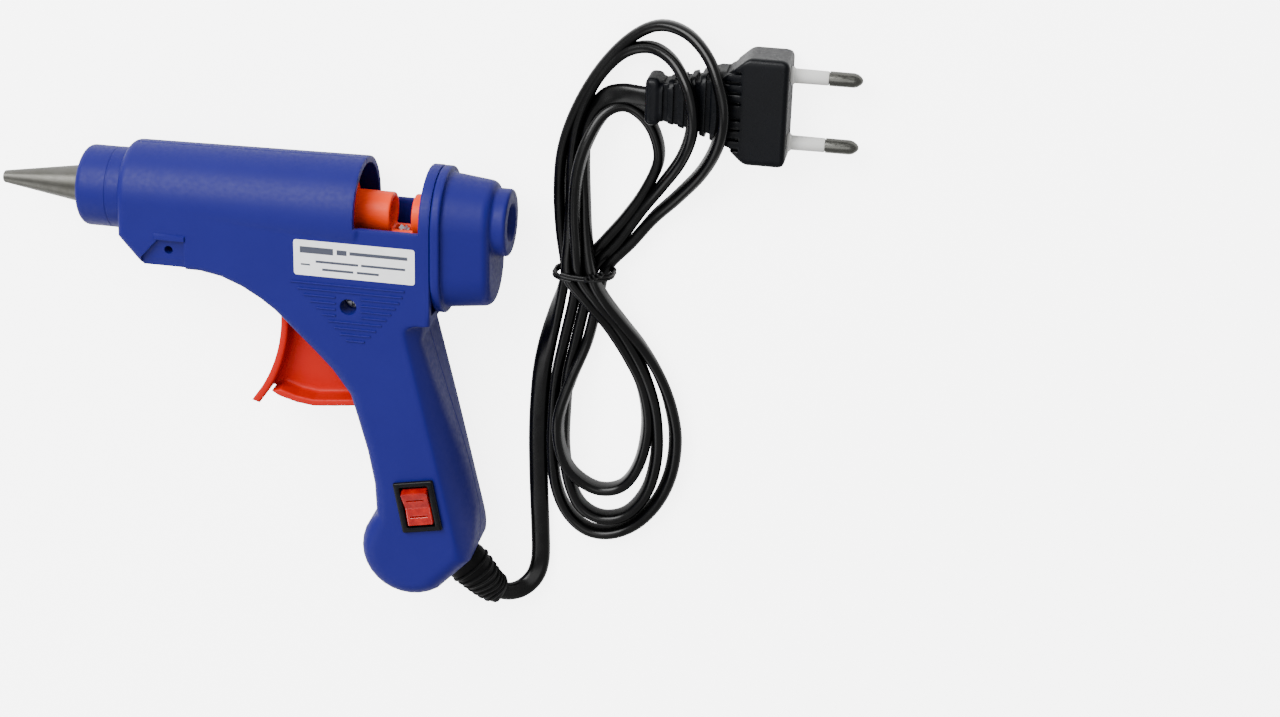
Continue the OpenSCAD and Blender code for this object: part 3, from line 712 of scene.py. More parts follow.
def finishes(context):
    """Every material, made once."""
    if "gun shell plastic" in bpy.data.materials:
        return {k: bpy.data.materials[k] for k in context.scene["gun_finishes"]}
    c = context.scene.gun_colours
    made = [
        moulded("gun shell plastic", tuple(c.shell), (0.0100, 0.0100, 0.16), 0.46),
        moulded("gun trigger plastic", tuple(c.trigger), (0.52, 0.0075, 0.0006), 0.42),
        moulded("gun feeder plastic", tuple(c.feeder), (0.92, 0.065, 0.001), 0.38),
        moulded("gun switch plastic", (0.002, 0.002, 0.003), (0.005, 0.005, 0.006), 0.30),
        moulded("gun plug plastic", tuple(c.plug), (0.005, 0.006, 0.010), 0.30),
        rubbery("gun cord plastic", tuple(c.cord), 0.24),
        rubbery("gun boot plastic", (0.0008, 0.0008, 0.0009), 0.50, 0.12),
        rubbery("gun tie plastic", (0.002, 0.002, 0.0022), 0.36),
        rubbery("gun silicone", (0.42, 0.10, 0.06), 0.5),
        clear_red("gun rocker plastic", tuple(c.rocker)),
        metal(
            "gun nozzle metal", (0.125, 0.123, 0.112), 0.36, (3800, 260, 260), 0.012,
            (0.08, 0.078, 0.066),
        ),
        metal("gun chamber metal", (0.70, 0.70, 0.70), 0.42, (500, 500, 500), 0.03),
        metal("gun steel", (0.56, 0.57, 0.58), 0.30, (900, 900, 4000), 0.006),
        metal("gun pin metal", (0.12, 0.12, 0.11), 0.26, (900, 3000, 3000), 0.004),
        metal("gun brass", (0.72, 0.52, 0.22), 0.28, (2500, 400, 400), 0.006),
        paper("gun label film", (0.90, 0.91, 0.93)),
        paper("gun label ink", (0.045, 0.05, 0.075)),
        ceramic("gun ceramic", (0.72, 0.68, 0.58)),
        ceramic("gun heater", (0.12, 0.12, 0.13)),
        moulded("gun film", (0.50, 0.20, 0.03), (0.62, 0.30, 0.06), 0.25),
        moulded("gun wire brown", (0.11, 0.035, 0.012), (0.16, 0.06, 0.02), 0.4),
        moulded("gun wire blue", (0.02, 0.07, 0.32), (0.04, 0.12, 0.42), 0.4),
        moulded("gun sleeve plastic", (0.70, 0.70, 0.68), (0.82, 0.82, 0.80), 0.4),
        moulded("gun pin sleeve", (0.62, 0.62, 0.60), (0.75, 0.75, 0.73), 0.35),
    ]
    context.scene["gun_finishes"] = [m.name for m in made]
    return {m.name: m for m in made}


# ---------------------------------------------------------------- stations of the gun, in mm

X_NOSE, X_BODY, X_WINDOW, X_HOOP, X_REAR, X_DRUM, X_BOSS, X_END = (
    24.5, 37.5, 105.3, 123.2, 126.4, 129.0, 142.0, 146.0,
)
FOOT = np.array([119.73, -98.74])
FOOT_R = 14.3
PIVOT = np.array([92.0, -23.0])
SCREW = np.array([103.5, -23.6])
SWITCH = FOOT + [3.3, 16.3]
SWITCH_TILT = math.radians(11)
OUTLET_A = FOOT + FOOT_R * np.array([math.cos(math.radians(-55)), math.sin(math.radians(-55))])
OUTLET_B = FOOT + [17.5, -1.7]
OUTLET = (OUTLET_A + OUTLET_B) / 2
OUTLET_TURN = math.atan2(OUTLET_B[1] - OUTLET_A[1], OUTLET_B[0] - OUTLET_A[0]) - math.pi / 2
STAND_HOLE = (52, -12.4)
STICK_BORE = 3.9
FINGER, FINGER_R = PIVOT + [-53.7, -8], 43.8  # middle and radius of the finger plate's front
PLUG = np.array([146.5, 85.5, 6.85])  # middle of the plug's face, in the row frame

SIDE = (
    [[X_BODY, 20], [X_BODY, -9.5], [44.5, -17.5], [61, -17.5], [67, -18.6], [73, -21], [78, -24]]
    + [[82, -27.2], [98, -44], [103, -51], [105, -58], FOOT + [-12, 30.7], FOOT + [-10.1, 20.7]]
    + [FOOT + [-9.6, 10.9]] + arc(FOOT, FOOT_R, 146, 305, 14)
    + [OUTLET_B, FOOT + [18.1, 4], FOOT + [17.8, 11.3], FOOT + [16, 21.8], [128.9, -55]]
    + [[125.8, -44.5], [122.9, -34], [123.4, -29], [126.4, -27.6], [126.4, 20]]
)
SLOT = [[79.4, -20], [79.4, -32], [96, -58.9], [108, -58.9], [112, -52], [86, -20]]
POCKET = [[49.5, -9], [57, -9], [57, -19], [43.5, -19], [44.5, -14.6]]


def turned_about(x, y, centre, angle):
    """Coordinates along and across a direction, from a centre."""
    c, s = math.cos(angle), math.sin(angle)
    return (x - centre[0]) * c + (y - centre[1]) * s, (y - centre[1]) * c - (x - centre[0]) * s


def gun_form(context):
    """The gun's outside: a barrel that grows backwards, flat sides, and a crowned grip."""
    front, rear, half = (gun_mm(context, k) for k in ("barrel_front", "barrel_rear", "half_width"))
    crown = gun_mm(context, "crown")

    start, lean = X_BODY + 2.5, math.radians(13)

    def form(x, y, z):
        barrel = front + (rear - front) * np.clip((x - start) / (X_WINDOW - start), 0, 1)
        barrel = barrel - (rear - half - 0.05) * ease((x - X_WINDOW - 0.2) / 1.6)
        flat = half + np.minimum(barrel - half, 0) * ease((y + 14) / 12)
        section = np.hypot(y, z) - barrel
        section = np.where(y > 0, section, np.minimum(section, np.abs(z) - flat))
        edge = outline_distance(x, y, SIDE)
        # The edge is rounder down the grip and at its foot, and crisper under the barrel
        r = 2.6 + 0.9 * ease((-y - 28) / 12) + 1.5 * ease((-y - 88) / 8)
        r = r - 0.9 * ease((x - 44) / 8) * ease((y + 30) / 8)
        r = r - 1.2 * ease((x - 112) / 8) * ease((y + 34) / 6)
        u = (x - 126.2) * math.cos(lean) + (y + 38) * math.sin(lean)
        back = join(np.hypot(u + crown, z) - crown, -(y + 27.6), 4.0)
        return keep(both(edge, section, r), back, 0.7)

    return form


def shell_form(context, side):
    """One half of the gun: side is 1 for the left shell and -1 for the right."""
    form = gun_form(context)
    wall, seam = gun_mm(context, "wall"), gun_mm(context, "seam")

    deep, out = 13.4, 40  # where the posts meet the wall, and a place outside the gun

    def solid(x, y, z):
        outer = form(x, y, z)
        w = side * z
        backing = 1.7 * ease(1 - outline_distance(x, y, POCKET) / 2.5)
        f = np.maximum(outer, -(outer + wall + backing))
        boss = rod(x, y, w, PIVOT, 4.4, 8.4, deep, 0.3)
        posts = join(boss, rod(x, y, w, SCREW, 4.0, 0.3, deep, 0.3), 0.2)
        seat = rod(x, y, w, STAND_HOLE, 2.8, 7.5, deep, 0.3)
        f = np.minimum(f, np.maximum(np.minimum(posts, seat), outer + 0.6))
        lip = block(x, y, w, (48.6, -8.9, 8), (57.4, -7.4, 16), 0.3)
        f = np.minimum(f, both(outer - 0.6, lip, 0.3))
        pocket = both(outline_distance(x, y, POCKET), 12.9 - w + 0.10 * (y + 9), 0.35)
        cuts = [
            # The window over the stick and the trigger's slot
            (block(x, y, z, (X_WINDOW, -0.6, -out), (X_HOOP, 60, out), 0.35), 0.5),
            (both(outline_distance(x, y, SLOT), np.abs(z) - 8.7, 0.5), 0.4),
            # The nose ring's seat, and the rear cap's round mouth and lower lobe
            (np.maximum(bore(y, z, 9.62), x - 41), 0.05),
            (np.maximum(bore(y, z, 12.2), 118 - x), 0.05),
            (block(x, y, z, (118, -25, -12.0), (130, 0, 12.0), 1.0), 0.05),
            # The stand's pocket with its hole, and the pivot's hole
            (np.maximum(pocket, -(outer + 1.9)), 0.25),
            (rod(x, y, w, STAND_HOLE, 1.2, 8.3, 16), 0.05),
            (rod(x, y, w, PIVOT, 2.0, 5, 12.0), 0.05),
        ]
        if side > 0:
            a, b = turned_about(x, y, SWITCH, SWITCH_TILT)
            cuts += [
                # The screw's recess and hole, and the switch's opening
                (rod(x, y, w, SCREW, 2.3, 7.3, 20), 0.25),
                (rod(x, y, w, SCREW, 1.7, -1, 20), 0.05),
                (block(a, b, w, (-4.8, -6.8, 5), (4.8, 6.8, 30), 0.4), 0.05),
            ]
        a, b = turned_about(x, y, OUTLET, OUTLET_TURN)
        cuts.append((block(a, b, z, (-7, -5.7, -4.5), (6, 5.7, 4.5), 1.5), 0.3))
        for taken, edge in cuts:
            f = cut(f, taken, edge)
        return both(f, seam - w, 0.10)

    return solid


def plate_outline():
    """The outline of the trigger's finger plate."""
    back = FINGER_R + 2.2
    return (
        [FINGER + [FINGER_R, 9], FINGER + [back, 9]]
        + arc(FINGER, back, 0, -37, 10) + arc(FINGER, FINGER_R, -38, 0, 10)
    )


def trigger_form(context):
    """The trigger: finger plate, lower flange, web between them, hub, and two arms that push."""
    half, within = gun_mm(context, "plate"), FINGER_R + 1
    web = (
        [FINGER + [within, 8.5]] + arc(FINGER, within, 0, -31, 6)
        + [PIVOT + p for p in ([-5, -34], [3, -34.3], [12.5, -32.6], [13.3, -30.5], [4.1, 0])]
    )
    flange = [PIVOT + p for p in (
        [-13.2, -31.5], [-11.2, -32.8], [-6, -34.3], [-1, -34.9], [5, -34.3], [12.4, -33.4],
        [12.8, -31.3], [5, -32.2], [-1, -32.8], [-6, -32.1], [-10.5, -30.6],
    )]
    plate = plate_outline()
    up = math.radians(-12)
    fork, reach = 1.62, 11.3  # half the fork's gap for the drive pin, and how far up it starts

    def solid(x, y, z):
        wide = np.abs(z) - half
        f = both(outline_distance(x, y, plate), wide, 0.75)
        f = join(f, both(outline_distance(x, y, flange), wide, 0.6), 1.4)
        f = join(f, both(outline_distance(x, y, web), np.abs(z) - 2.3, 0.4), 1.3)
        f = join(f, rod(x, y, z, PIVOT, 4.2, -half, half, 0.4), 0.8)
        a, b = turned_about(x, y, PIVOT, up)
        w = np.abs(z)
        f = np.minimum(f, block(a, b, w, (-2.7, 0, 3.3), (2.7, 14.7, 6.5), 0.4))
        f = cut(f, rod(x, y, z, PIVOT, 2.05, -30, 30), 0.15)
        gap = block(a, b, w, (-fork, reach, 2), (fork, 18, 8), 0.1)
        return cut(f, np.minimum(gap, np.maximum(np.hypot(a, b - reach) - fork, 2.5 - w)), 0.1)

    return solid


def feeder_form(context):
    """The carriage that grips the stick: two collars on a beam, the spring's flange, a tongue."""
    r = gun_mm(context, "collar")
    drive = PIVOT + 11.5 * np.array([math.tan(math.radians(12)), 1])

    def solid(x, y, z):
        f = both(bore(y, z, r), np.maximum(98.9 - x, x - 113), 0.45)
        f = np.minimum(f, both(bore(y, z, 9.2), np.maximum(99 - x, x - 101), 0.3))
        f = np.minimum(f, both(bore(y, z, r), np.maximum(119 - x, x - 123), 0.45))
        f = join(f, block(x, y, z, (100, -8.6, -3.5), (122, -4.2, 3.5), 0.5), 0.5)
        f = np.minimum(f, block(x, y, z, (drive[0] - 2.6, -13.5, -3), (103, -9.3, 3), 0.4))
        f = np.minimum(f, block(x, y, z, (99, -13.5, -3), (103, -7.5, 3), 0.4))
        for taken, edge in (
            (bore(y, z, STICK_BORE), 0.5),
            (block(x, y, z, (113.4, -9, -1.8), (118.6, -1, 1.8), 0.2), 0.2),  # the jaw's slot
            (rod(x, y, z, drive, 1.5, -9, 9), 0.1),
            (rod(x, y, z, (115.8, -6.6), 0.8, -9, 9), 0.05),  # the jaw pin's hole
        ):
            f = cut(f, taken, edge)
        return f

    return solid


def cap_form():
    """The rear cap: flange, tapering drum with its lower lobe, round boss and stick's mouth."""
    def solid(x, y, z):
        drop = np.hypot(z, y - np.clip(y, -13, 0))
        f = both(drop - 14.25, np.maximum(X_REAR - x, x - X_DRUM), 0.55)
        t = np.clip((x - X_DRUM) / 11, 0, 1)
        drum = (drop - 12.55 + 1.25 * t) * 0.99
        f = join(f, both(drum, np.maximum(127 - x, x - X_BOSS), 2.4), 0.5)
        f = join(f, both(bore(y, z, 9.3), np.maximum(138 - x, x - X_END), 0.9), 0.7)
        plug = both(drop - 12.2, np.maximum(123.4 - x, x - 128), 0.3)
        f = np.minimum(f, cut(plug, block(x, y, z, (120, -40, -4.5), (126.3, -19, 4.5), 0.3), 0.1))
        narrowing = drop - 10.3 + 0.10 * np.maximum(x - X_DRUM, 0)
        f = cut(f, both(narrowing, np.maximum(120 - x, x - 139.9), 0.8), 0.2)
        f = np.minimum(f, np.maximum(bore(y, z, 5.9), np.maximum(131 - x, x - 141)))
        mouth = (np.hypot(y, z) - 5.4 + 0.55 * np.maximum(X_END - x, 0)) * 0.88
        f = cut(f, np.maximum(mouth, X_END - 2.9 - x), 0.35)
        return cut(f, bore(y, z, STICK_BORE), 0.1)

    return solid


# ---------------------------------------------------------------- the lead's way, in the row frame


# Stations of the cord: x, y, z in millimetres and its roll in degrees. At 0 it stands on edge and
# at 90 it lies flat.
LEAD = [
    (66.4, -67.6, 10.4, 88), (68.2, -68.6, 9.8, 88), (70.0, -69.4, 9.0, 88),
    (72.2, -70.2, 7.5, 88), (74.6, -70.2, 5.6, 88), (76.9, -68.9, 4.0, 88), (78.8, -66.4, 2.8, 88),
    (79.8, -63.0, 2.0, 88), (80.1, -58.6, 1.7, 88), (79.8, -50, 1.65, 88), (79.3, -40, 1.65, 88),
    (78.9, -30, 1.65, 88), (78.7, -20, 1.65, 88), (78.9, -10, 1.65, 86), (79.6, 0, 1.75, 80),
    (81.1, 9, 2.0, 66), (83.2, 18, 2.4, 38), (85.2, 26, 2.75, 10),
]
UPPER_OUTER = [
    (86.2, 33, 2.85, 0), (84.6, 44, 2.85, 0), (83.8, 56, 2.85, 0), (84.6, 68, 2.85, 0),
    (88.4, 80, 2.85, 0), (94.6, 91.4, 2.9, 0), (102.4, 100.4, 3.2, -4), (110.4, 105.0, 4.8, -8),
    (118.4, 104.2, 8.0, -12), (124.8, 99.2, 12.0, -16), (128.6, 91.6, 15.3, -18),
    (129.8, 84.0, 16.2, -20), (128.3, 75.6, 14.2, -18), (123.8, 66.2, 9.4, -12),
    (117.0, 57.2, 5.2, -8), (110.6, 50.0, 3.1, -4),
]
UPPER_OUTER_DOWN = [
    (104.6, 42, 2.85, 0), (97.4, 33, 2.85, 0), (94.9, 21, 2.85, 0), (92.5, 10, 3.2, 0),
    (88.9, 0, 5.9, 4), (86.0, -11, 8.3, 6), (86.3, -21.5, 6.8, 4), (89.4, -30.3, 4.2, 0),
]
LOWER_INNER = [
    (96.6, -35.3, 3.0, 0), (104.0, -33.6, 2.85, 4), (108.7, -25.8, 2.85, 12),
    (110.6, -14, 2.85, 22), (109.0, -2.6, 2.9, 18), (105.0, 7, 3.7, 10), (99.2, 17.6, 5.9, 4),
    (92.8, 26, 8.0, 0),
]
UPPER_MIDDLE = [
    (87.8, 33, 8.45, 0), (87.5, 43, 6.0, 0), (87.3, 54, 3.2, 0), (87.4, 65, 2.85, 0),
    (89.0, 76.5, 2.85, 0), (93.2, 87.4, 2.85, 0), (100.2, 95.8, 3.2, -2), (107.8, 98.9, 5.2, -6),
    (114.4, 97.2, 9.0, -12), (119.2, 92.0, 13.2, -18), (121.3, 85.2, 15.0, -20),
    (121.2, 78.2, 13.6, -18), (118.0, 69.0, 8.8, -12), (112.6, 60.0, 4.6, -6),
    (106.9, 51.6, 2.95, -2),
]
UPPER_MIDDLE_DOWN = [
    (100.9, 42, 2.85, 0), (94.0, 33, 2.85, 0), (91.5, 21, 2.85, 0), (89.3, 10, 2.85, 0),
    (87.5, 0, 2.85, 0), (86.8, -11, 2.85, 0), (86.7, -23, 2.85, 0), (88.4, -34, 2.85, 0),
]
LOWER_MIDDLE = [
    (92.2, -41.6, 2.85, 4), (98.6, -44.6, 2.85, 8), (105.8, -42.2, 2.85, 12),
    (111.3, -34.2, 2.85, 18), (113.6, -23, 2.85, 22), (113.1, -11, 2.85, 22), (111.0, -2, 2.9, 18),
    (107.5, 7, 3.7, 12), (102.0, 17.6, 5.9, 6), (95.9, 26, 8.2, 0),
]
UPPER_INNER = [
    (91.2, 33, 8.5, 0), (89.9, 43, 8.9, 0), (89.2, 54, 8.6, 0), (90.0, 64, 8.5, -4),
    (92.4, 72.4, 7.6, -8), (96.2, 79.2, 5.2, -6), (101.2, 81.6, 3.4, 0), (106.0, 79.4, 2.9, 0),
    (109.8, 74.2, 2.85, 0), (111.2, 66.6, 2.85, 0), (107.6, 57.2, 2.85, 0), (102.5, 49.0, 2.85, 0),
]
UPPER_INNER_DOWN = [
    (96.9, 41.6, 2.85, 0), (90.6, 33, 2.85, 0), (88.2, 21, 2.85, 0), (86.0, 10, 2.85, 0),
    (84.2, 0, 2.85, 0), (83.4, -11, 2.85, 0), (83.2, -23, 2.85, 0), (84.4, -35, 2.85, 0),
    (88.0, -43.8, 2.85, 0),
]
LOWER_OUTER = [
    (94.0, -48.9, 2.85, 4), (101.2, -49.2, 2.85, 8), (108.6, -45.0, 2.85, 14),
    (114.6, -37.2, 2.85, 20), (118.1, -27.4, 2.85, 26), (118.9, -16.4, 2.85, 28),
    (117.0, -6.4, 2.85, 26), (113.6, 2.4, 3.1, 20), (108.8, 11, 4.4, 12), (103.2, 19, 6.6, 6),
    (97.9, 26.6, 8.3, 0),
]
TO_PLUG = [
    (94.6, 33, 8.45, 0), (92.3, 43, 6.0, 0), (91.0, 54, 3.2, 0), (90.5, 64, 2.85, 0),
    (91.0, 72.5, 2.9, 10), (92.9, 79.2, 3.2, 30), (96.7, 83.6, 3.9, 60), (101.2, 85.3, 5.0, 82),
    (105.2, 85.5, 6.1, 90), (108.6, 85.5, 6.8, 90), (111.8, 85.5, 6.85, 90),
]
CORD_WAY = (
    LEAD + UPPER_OUTER + UPPER_OUTER_DOWN + LOWER_INNER + UPPER_MIDDLE + UPPER_MIDDLE_DOWN
    + LOWER_MIDDLE + UPPER_INNER + UPPER_INNER_DOWN + LOWER_OUTER + TO_PLUG
)


def along(line):
    """Unit directions along a line of points."""
    way = np.gradient(line, axis=0)
    return way / np.linalg.norm(way, axis=1)[:, None]


def ribbon(line, roll, width, thick, sides):
    """Rings of a flat cord's section along a line, rolled about it."""
    width, thick = (np.broadcast_to(v, len(line))[:, None] for v in (width, thick))
    way = along(line)
    across = np.cross(way, [0, 0, 1.0])
    across /= np.linalg.norm(across, axis=1)[:, None]
    up = np.cross(across, way)
    turn = np.radians(roll)[:, None]
    wide = up * np.cos(turn) + across * np.sin(turn)
    flat = np.cross(way, wide)
    a = 2 * math.pi * (np.arange(sides) + 0.5) / sides
    stretch = (width - thick) / 2 * np.clip(3 * np.cos(a), -1, 1)
    u, v = thick / 2 * np.cos(a) + stretch, thick / 2 * np.sin(a)
    return line[:, None] + wide[:, None] * u[..., None] + flat[:, None] * v[..., None]


# ---------------------------------------------------------------- operators


class GUN_OT_stage(bpy.types.Operator):
    """Lay the pale floor and set the lights and the camera"""

    bl_idname = "gun.stage"
    bl_label = "Stage"

    def execute(self, context):
        floor = bpy.data.meshes.new("floor")
        corners = [(-4, -4), (4, -4), (4, 4), (-4, 4)]
        floor.from_pydata([(x, y, -0.0001) for x, y in corners], [], [(0, 1, 2, 3)])
        ground = bpy.data.objects.new("floor", floor)
        context.scene.collection.objects.link(ground)
        pale = Paint("pale floor", (0.90, 0.90, 0.90), 0.9, specular=0.1)
        pale.put("Emission Color", (1, 1, 1, 1))
        # The floor looks bright but throws little light back on the gun's sides
        seen = pale.nodes.new("ShaderNodeLightPath").outputs["Is Camera Ray"]
        glow = pale.spread(seen, 0.2, 5.0, 0.0, 1.0)
        pale.links.new(glow, pale.shader.inputs["Emission Strength"])
        floor.materials.append(pale.material)
        world = bpy.data.worlds.new("studio")
        context.scene.world = world
        world.use_nodes = True
        sky = world.node_tree.nodes["Background"].inputs
        sky["Color"].default_value = (1, 1, 1, 1)
        sky["Strength"].default_value = 0.55
        middle = Vector((0.03, 0.0, 0.01))
        for name, place, size, power in (
            ("key", (-0.34, 0.70, 0.72), 0.75, 21.0),
            ("fill", (0.10, 0.10, 1.10), 0.7, 3.0),
            ("low", (-0.45, -0.55, 0.55), 0.6, 2.5),
        ):
            light = bpy.data.lights.new(name, "AREA")
            light.size, light.energy = size, power
            lamp = bpy.data.objects.new(name, light)
            context.scene.collection.objects.link(lamp)
            lamp.location = place
            lamp.rotation_euler = (middle - Vector(place)).to_track_quat("-Z", "Y").to_euler()
        lens = bpy.data.cameras.new("camera")
        lens.lens, lens.sensor_width, lens.clip_start = 69.89, 36, 0.01
        back = Vector((0.1429, 0.4067, 0.9023)).normalized()
        right = Vector((math.cos(math.radians(9)), 0, -math.sin(math.radians(9))))
        right = (right - back * right.dot(back)).normalized()
        up = back.cross(right)
        roll = math.radians(2)
        side = right * math.cos(roll) + up * math.sin(roll)
        top = up * math.cos(roll) - right * math.sin(roll)
        camera = bpy.data.objects.new("camera", lens)
        context.scene.collection.objects.link(camera)
        place = Matrix((side, top, back)).transposed().to_4x4()
        place.translation = (0.20824, 0.29250, 0.63650)
        camera.matrix_world = place
        context.scene.camera = camera
        return {"FINISHED"}


class GUN_OT_relief(bpy.types.Operator):
    """Loft the strain relief from the grip's corner to the cord, with its moulded rings"""

    bl_idname = "gun.relief"
    bl_label = "Strain Relief"

    def execute(self, context):
        boot = finishes(context)["gun boot plastic"]
        c, s = math.cos(OUTLET_TURN), math.sin(OUTLET_TURN)

        def from_outlet(d):
            return np.array([OUTLET[0] + d * c, OUTLET[1] + d * s, 0]) + GUN_ORIGIN

        start, end = from_outlet(2.0), np.array([70.0, -69.4, 9.0])
        first, last = np.array([c, s, 0.0]), np.array([0.86, -0.40, -0.32])
        t = np.linspace(0, 1, 25)[:, None]
        reach = np.linalg.norm(end - start)
        line = (
            (1 - t) ** 3 * start + 3 * (1 - t) ** 2 * t * (start + first * reach * 0.36)
            + 3 * (1 - t) * t * t * (end - last * reach * 0.30) + t ** 3 * end
        )
        line = np.vstack([from_outlet(-1.6), from_outlet(0.4), from_outlet(0.5), line])
        wide = np.concatenate([[11.2, 11.2, 12.6], 12.9 - 4.4 * t[:, 0] ** 0.8])
        thick = np.concatenate([[8.8, 8.8, 9.8], 10.1 - 4.3 * t[:, 0] ** 0.8])
        wide[-1], thick[-1] = wide[-1] - 0.6, thick[-1] - 0.6
        points, faces = swept(ribbon(line, np.full(len(line), 90.0), wide, thick, 40))
        tube = piece("relief_boot", points, faces, "body", boot, "cord_black")
        way = along(line)
        steps, angles = range(5, 24, 3), []
        for i in steps:
            across = np.cross(way[i], [0, 0, 1.0])
            across /= np.linalg.norm(across)
            up = np.cross(across, way[i])
            angles.append(list(Matrix((way[i], -across, up)).transposed().to_euler()))
        mesh = hoops_tree().run(
            seeds(
                "relief_seeds", [line[i] for i in steps],
                [(1 / MM, wide[i] - 0.15, thick[i] - 0.15) for i in steps], angles,
            ),
            {"Wire": 0.0005, "Squareness": 0.42, "Material": boot},
        )
        rings = finish_mesh("relief_rings", mesh, "body", boot)
        for made in (tube, rings):
            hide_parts("strain_relief")
        return {"FINISHED"}


class GUN_OT_plug(bpy.types.Operator):
    """Model the flat two-pin plug with its ridged boot, pin sleeves and pins"""

    bl_idname = "gun.plug"
    bl_label = "Plug"

    def execute(self, context):
        paint = finishes(context)
        back, step, neck = -37, -17, -38.5  # the boot's ends, and where its taper starts

        def body(x, y, z):
            w, h = np.abs(y), np.abs(z)
            t = np.clip((x + 19) / 7, 0, 1)
            half = 10.2 + 4.6 * t ** 0.8
            f = both(np.maximum(w - half, np.maximum(-19 - x, x)) * 0.8, h - 6.1 - 0.7 * t, 1.3)
            f = keep(f, (w + 0.9 * np.abs(x + 6) - 19.2) * 0.74, 0.8)
            for k in (2.2, 5.0, 7.8, 10.6):
                groove = both(np.abs(w - k) - 0.42, np.maximum(-17.2 - x, x + 12.6), 0.2) * 0.7
                f = cut(f, np.where(h > 4.6, groove, 9), 0.3)
            s = np.clip((x - neck) / 19.5, 0, 1)
            boot = both((w - 5.3 - 4.7 * s ** 1.5) * 0.9, h - 4.2 - 1.5 * s, 2.6)
            boot = np.maximum(boot, np.maximum(back - x, x - step))
            for k in range(5):
                ridge = np.abs(x + 33.0 - 2.9 * k) - 0.65
                boot = cut(boot, np.maximum(ridge, 3.3 + 0.077 * (x + 38) - h), 0.3)
                boot = cut(boot, np.maximum(ridge, 4.6 + 0.16 * (x + 38) - w), 0.3)
            collar = block(x, y, z, (neck, -6.6, -4.9), (-34.3, 6.6, 4.9), 1.6)
            return join(join(f, boot, 0.8), collar, 0.5)

        def place(points):
            return np.asarray(points) + PLUG

        shape = grown(
            "plug_moulding", body, (-40, -19.5, -8), (1.5, 19.5, 8), CELL_PART, "body",
            paint["gun plug plastic"], "plug_black", place, 40,
        )
        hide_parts("plug_body")
        r, pitch = lead_mm(context, "pin_radius"), lead_mm(context, "pin_pitch")
        sleeve = [
            (0.0, r - 0.35), (0.0, r + 0.55), (0.5, r + 0.5), (1.0, r - 0.02), (9.7, r - 0.1),
            (10.0, r - 0.25), (10.0, r - 0.35),
        ]
        contact = [
            (9.5, 0.02), (9.5, r - 0.45), (10.15, r - 0.45), (10.2, r - 0.02), (16.6, r - 0.04),
            (17.6, r - 0.3), (18.5, r - 0.95), (18.95, r - 1.55), (19.0, 0.02),
        ]
        for name, profile, slot, node, finish in (
            ("plug_sleeves", sleeve, "pin_sleeve_grey", "plug_pin_sleeves", "gun pin sleeve"),
            ("plug_contacts", contact, "pin_metal", "plug_pins", "gun pin metal"),
        ):
            points, faces = turned(profile, 40)
            pair = gathered([(points + PLUG + [0, y, 0], faces) for y in (-pitch / 2, pitch / 2)])
            made = piece(name, *pair, "body", paint[finish], slot)
            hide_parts(node)
        return {"FINISHED"}


class GUN_OT_tie(bpy.types.Operator):
    """Wind the wire tie round the waist of the hank and twist its ends"""

    bl_idname = "gun.tie"
    bl_label = "Hank Tie"

    def execute(self, context):
        r = lead_mm(context, "tie")
        middle, wide, high = np.array([91.9, 33.0, 5.9]), 8.2, 5.75
        square = 3.2  # how square the turns round the strands are: 2 is an ellipse
        points = []
        for t in np.linspace(0, 2.05, 130):
            a = 2 * math.pi * (t + 0.3)
            c, s = math.cos(a), math.sin(a)
            k = 1 / (abs(c) ** square + abs(s) ** square) ** (1 / square)
            forward = -0.9 + 0.85 * t + 0.25 * math.sin(3 * a)
            points.append(middle + [wide * c * k, forward, high * s * k])
        line = np.array(points)
        line[:, 2] = np.maximum(line[:, 2], 1.5 * r + 0.05)
        parts = [swept(ribbon(line, np.zeros(len(line)), 2 * r * 1.5, 2 * r, 12))]
        top = middle + [1.4, 0.4, high + 0.4]
        for k in (0, 1):
            twist = []
            for t in np.linspace(0, 1, 40):
                a = 2 * math.pi * (2.2 * t) + math.pi * k
                across, rise = 0.55 * math.cos(a), 0.55 * math.sin(a)
                twist.append(top + [4.8 * t, across + 1.6 * t, rise + 0.7 - 1.5 * t * t])
            parts.append(swept(ribbon(np.array(twist), np.zeros(40), 2 * r, 1.7 * r, 10)))
        wire = finishes(context)["gun tie plastic"]
        made = piece("hank_tie", *gathered(parts), "body", wire, "tie_black")
        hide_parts("cord_tie")
        return {"FINISHED"}


class GUN_OT_lead(bpy.types.Operator):
    """Run the flat cord from the strain relief through its hank to the plug"""

    bl_idname = "gun.lead"
    bl_label = "Lead"

    def execute(self, context):
        way = flowing(CORD_WAY, 6)
        line, roll = way[:, :3], way[:, 3]
        section = lead_mm(context, "width"), lead_mm(context, "thickness"), 20
        points, faces = swept(ribbon(line, roll, *section))
        points[:, 2] = np.maximum(points[:, 2], 0.01)
        skin = finishes(context)["gun cord plastic"]
        cord = piece("lead_cord", points, faces, "body", skin, "cord_black", 60)
        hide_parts("cord_lead", "cord_hank", "cord_plug_end")
        lead_mm(context, "width") * MM
        return {"FINISHED"}


